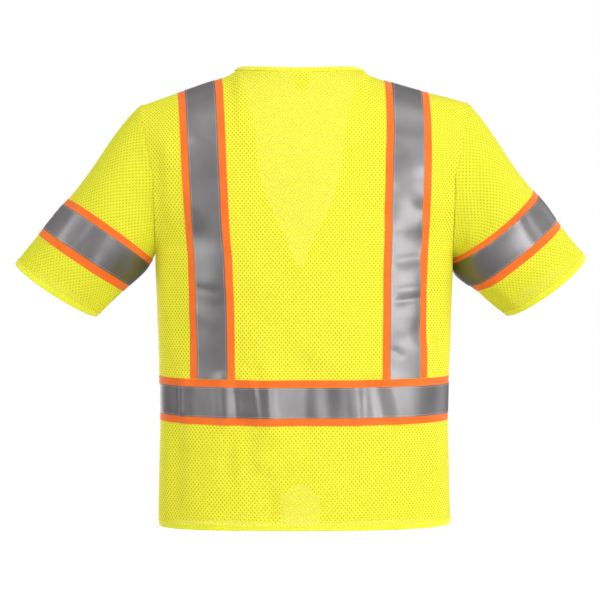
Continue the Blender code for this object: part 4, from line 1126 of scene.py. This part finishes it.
# the ring is four quarter circles joined by straight wires
def makeTab():
    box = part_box("zip_pull_tab")
    spot = np.array([0, (box[0][1] + box[1][1]) / 2, zipCut["slider"]])
    halfX, foot, bend, thick = tabCut["ring"]
    angle = (np.linspace(0, np.pi / 2, 6) + np.arange(4)[:, None] * np.pi / 2).ravel()
    cornerX = np.repeat([halfX - bend, bend - halfX, bend - halfX, halfX - bend], 6)
    cornerZ = np.repeat([-bend, -bend, bend - foot, bend - foot], 6)
    path = spot + np.stack([cornerX + bend * np.cos(angle), 0 * angle, cornerZ + bend * np.sin(angle)], -1)
    forms = [bentBar(path, np.array([0, 1, 0]), thick, closed=True)]
    return joinForms("zipPull", forms + blocksAt(tabCut["grip"] + tabCut["ribs"], spot), zipPlastic, 50)


attach(makeSlider(), ["zip_slider"])
attach(makeTab(), ["zip_pull_tab"], body="pull_tab")
print("zip made")

for side in sideNames:
    level = levelOf(np.linspace(zipCut["stitchFoot"], zipCut["stitchTop"], 110))[:, None]
    zipLine = clothAt(front, side * (zipCut["stitchFrom"] + np.array([[0, 0.002]])), level)
    armholeLine = sleeveGrid(side, sleeveCut["columns"], np.array([0.0, 0.035, 0.07]))
    for points, normals in ((zipLine[0][:, 0], zipLine[1][:, 0]), (armholeLine[0][1], armholeLine[1][1])):
        stitchLines["lime"].append((points + normals * 0.0005, normals))


# thread laid in short stitches: a four-sided strand, thin at both ends, at even steps along lines
def makeStitches(name):
    cut, forms = stitchCut, []
    along = (np.array([-0.5, -0.32, 0.32, 0.5]) * cut["length"])[:, None, None]
    thick = (np.array([0.35, 1.0, 1.0, 0.35]) * cut["radius"])[:, None, None]
    square = np.array([(1, 0), (0, 1), (-1, 0), (0, -1)])[..., None]
    for line, normals in stitchLines[name]:
        run = np.concatenate([[0], np.cumsum(np.linalg.norm(np.diff(line, axis=0), axis=1))])
        at = np.arange(cut["pitch"] / 2, run[-1], cut["pitch"])
        reads = ((line, at), (line, at + mm), (line, at - mm), (normals, at))
        middle, ahead, behind, up = (np.stack([np.interp(places, run, values[:, k]) for k in range(3)], -1)
                                     for values, places in reads)
        up, way = unit(up), unit(ahead - behind)
        sideways = unit(np.cross(up, way))
        middle, way, sideways, up = (v[:, None, None] for v in (middle, way, sideways, up))
        forms.append(barForm(middle + way * along + (sideways * square[:, 0] + up * square[:, 1]) * thick))
    attach(joinForms(name + "Stitches", forms, threads[name], 60), [])


makeStitches("lime")
makeStitches("orange")
makeStitches("silver")
print("stitches made")

stageLook = {"floorHeight": -1.25, "floorHalf": 8.0, "floorGrey": 0.55, "floorGlow": 0.78, "ambient": 0.42}


# matt paper sweep: a grey that the light falls on, and a glow that takes it to pure white where
# the camera looks at it
def paperPattern(tree):
    grey = stageLook["floorGrey"]
    matt = addNode(tree, "BsdfDiffuse", {"Color": (grey, grey, grey, 1)})
    glow = addNode(tree, "Emission", {"Color": (1, 1, 1, 1), "Strength": stageLook["floorGlow"]})
    both = addNode(tree, "AddShader", {0: matt, 1: glow})
    seen = addNode(tree, "LightPath").outputs["Is Camera Ray"]
    return addNode(tree, "MixShader", {0: seen, 1: matt, 2: both})


# one square, level under the vest
def makeFloor():
    size, z = stageLook["floorHalf"], stageLook["floorHeight"]
    mesh = bpy.data.meshes.new("floor")
    corners = [(-size, -size, z), (size, -size, z), (size, size, z), (-size, size, z)]
    mesh.from_pydata(corners, [], [(0, 1, 2, 3)])
    mesh.materials.append(makeMaterial("palePaper", paperPattern))
    floor = bpy.data.objects.new("floor", mesh)
    bpy.context.scene.collection.objects.link(floor)


# a dim even light, and white for the camera, for gloss and through clear things
def makeWorld():
    world = bpy.data.worlds.new("studio")
    world.use_nodes = True
    tree = world.node_tree
    tree.nodes.clear()
    rays = addNode(tree, "LightPath").outputs
    shown = rays["Is Camera Ray"]
    for ray in ("Is Transmission Ray", "Is Glossy Ray"):
        shown = addNode(tree, "Math", {0: shown, 1: rays[ray]}, operation="MAXIMUM")
    lit = addNode(tree, "Background", {"Color": (1, 1, 1, 1), "Strength": stageLook["ambient"]})
    white = addNode(tree, "Background", {"Color": (1, 1, 1, 1), "Strength": 1.0})
    mixed = addNode(tree, "MixShader", {0: shown, 1: lit, 2: white})
    addNode(tree, "OutputWorld", {"Surface": mixed})
    bpy.context.scene.world = world


# soft boxes: place, what they face, size and watts
softBoxes = {
    "key": ((-2.5, 2.5, -0.35), (0, 0, -0.4), (2.6, 0.90), 52),
    "keyHigh": ((-1.9, 2.4, 1.2), (0, 0, -0.3), (2.2, 1.0), 13),
    "near": ((-0.5, 3.5, -0.5), (0, 0, -0.5), (1.0, 1.0), 17),
    "fill": ((3.2, 1.8, 0.75), (0, 0, -0.35), (2.2, 3.0), 40),
    "frontKey": ((1.8, -3.0, -0.35), (0, 0, -0.4), (2.0, 1.3), 56),
    "frontNear": ((0.5, -3.5, -0.5), (0, 0, -0.5), (1.0, 1.3), 24),
    "frontFill": ((-3.2, -1.8, 0.1), (0, 0, -0.4), (2.2, 2.0), 38),
    "top": ((-0.3, 1.1, 2.15), (0, 0, -0.3), (3.0, 1.0), 21),
}
# level with the middle of the vest, straight behind it
cameraLook = {"place": (0, 2.9, -0.405), "lens": 99.54, "sensor": 36}


# a lamp or a camera in its place and turned
def setUp(name, data, spot, turn):
    made = bpy.data.objects.new(name, data)
    made.location, made.rotation_euler = spot, turn
    bpy.context.scene.collection.objects.link(made)
    return made


makeFloor()
makeWorld()
for name, (spot, target, size, watts) in softBoxes.items():
    lamp = bpy.data.lights.new(name, "AREA")
    lamp.shape, lamp.size, lamp.size_y, lamp.energy = "RECTANGLE", size[0], size[1], watts
    setUp(name, lamp, spot, (Vector(target) - Vector(spot)).to_track_quat("-Z", "Y").to_euler())
camera = bpy.data.cameras.new("camera")
camera.lens, camera.sensor_width = cameraLook["lens"], cameraLook["sensor"]
bpy.context.scene.camera = setUp("camera", camera, cameraLook["place"], (math.pi / 2, 0, math.pi))
bpy.context.scene.view_settings.view_transform = "Standard"
print("stage made")
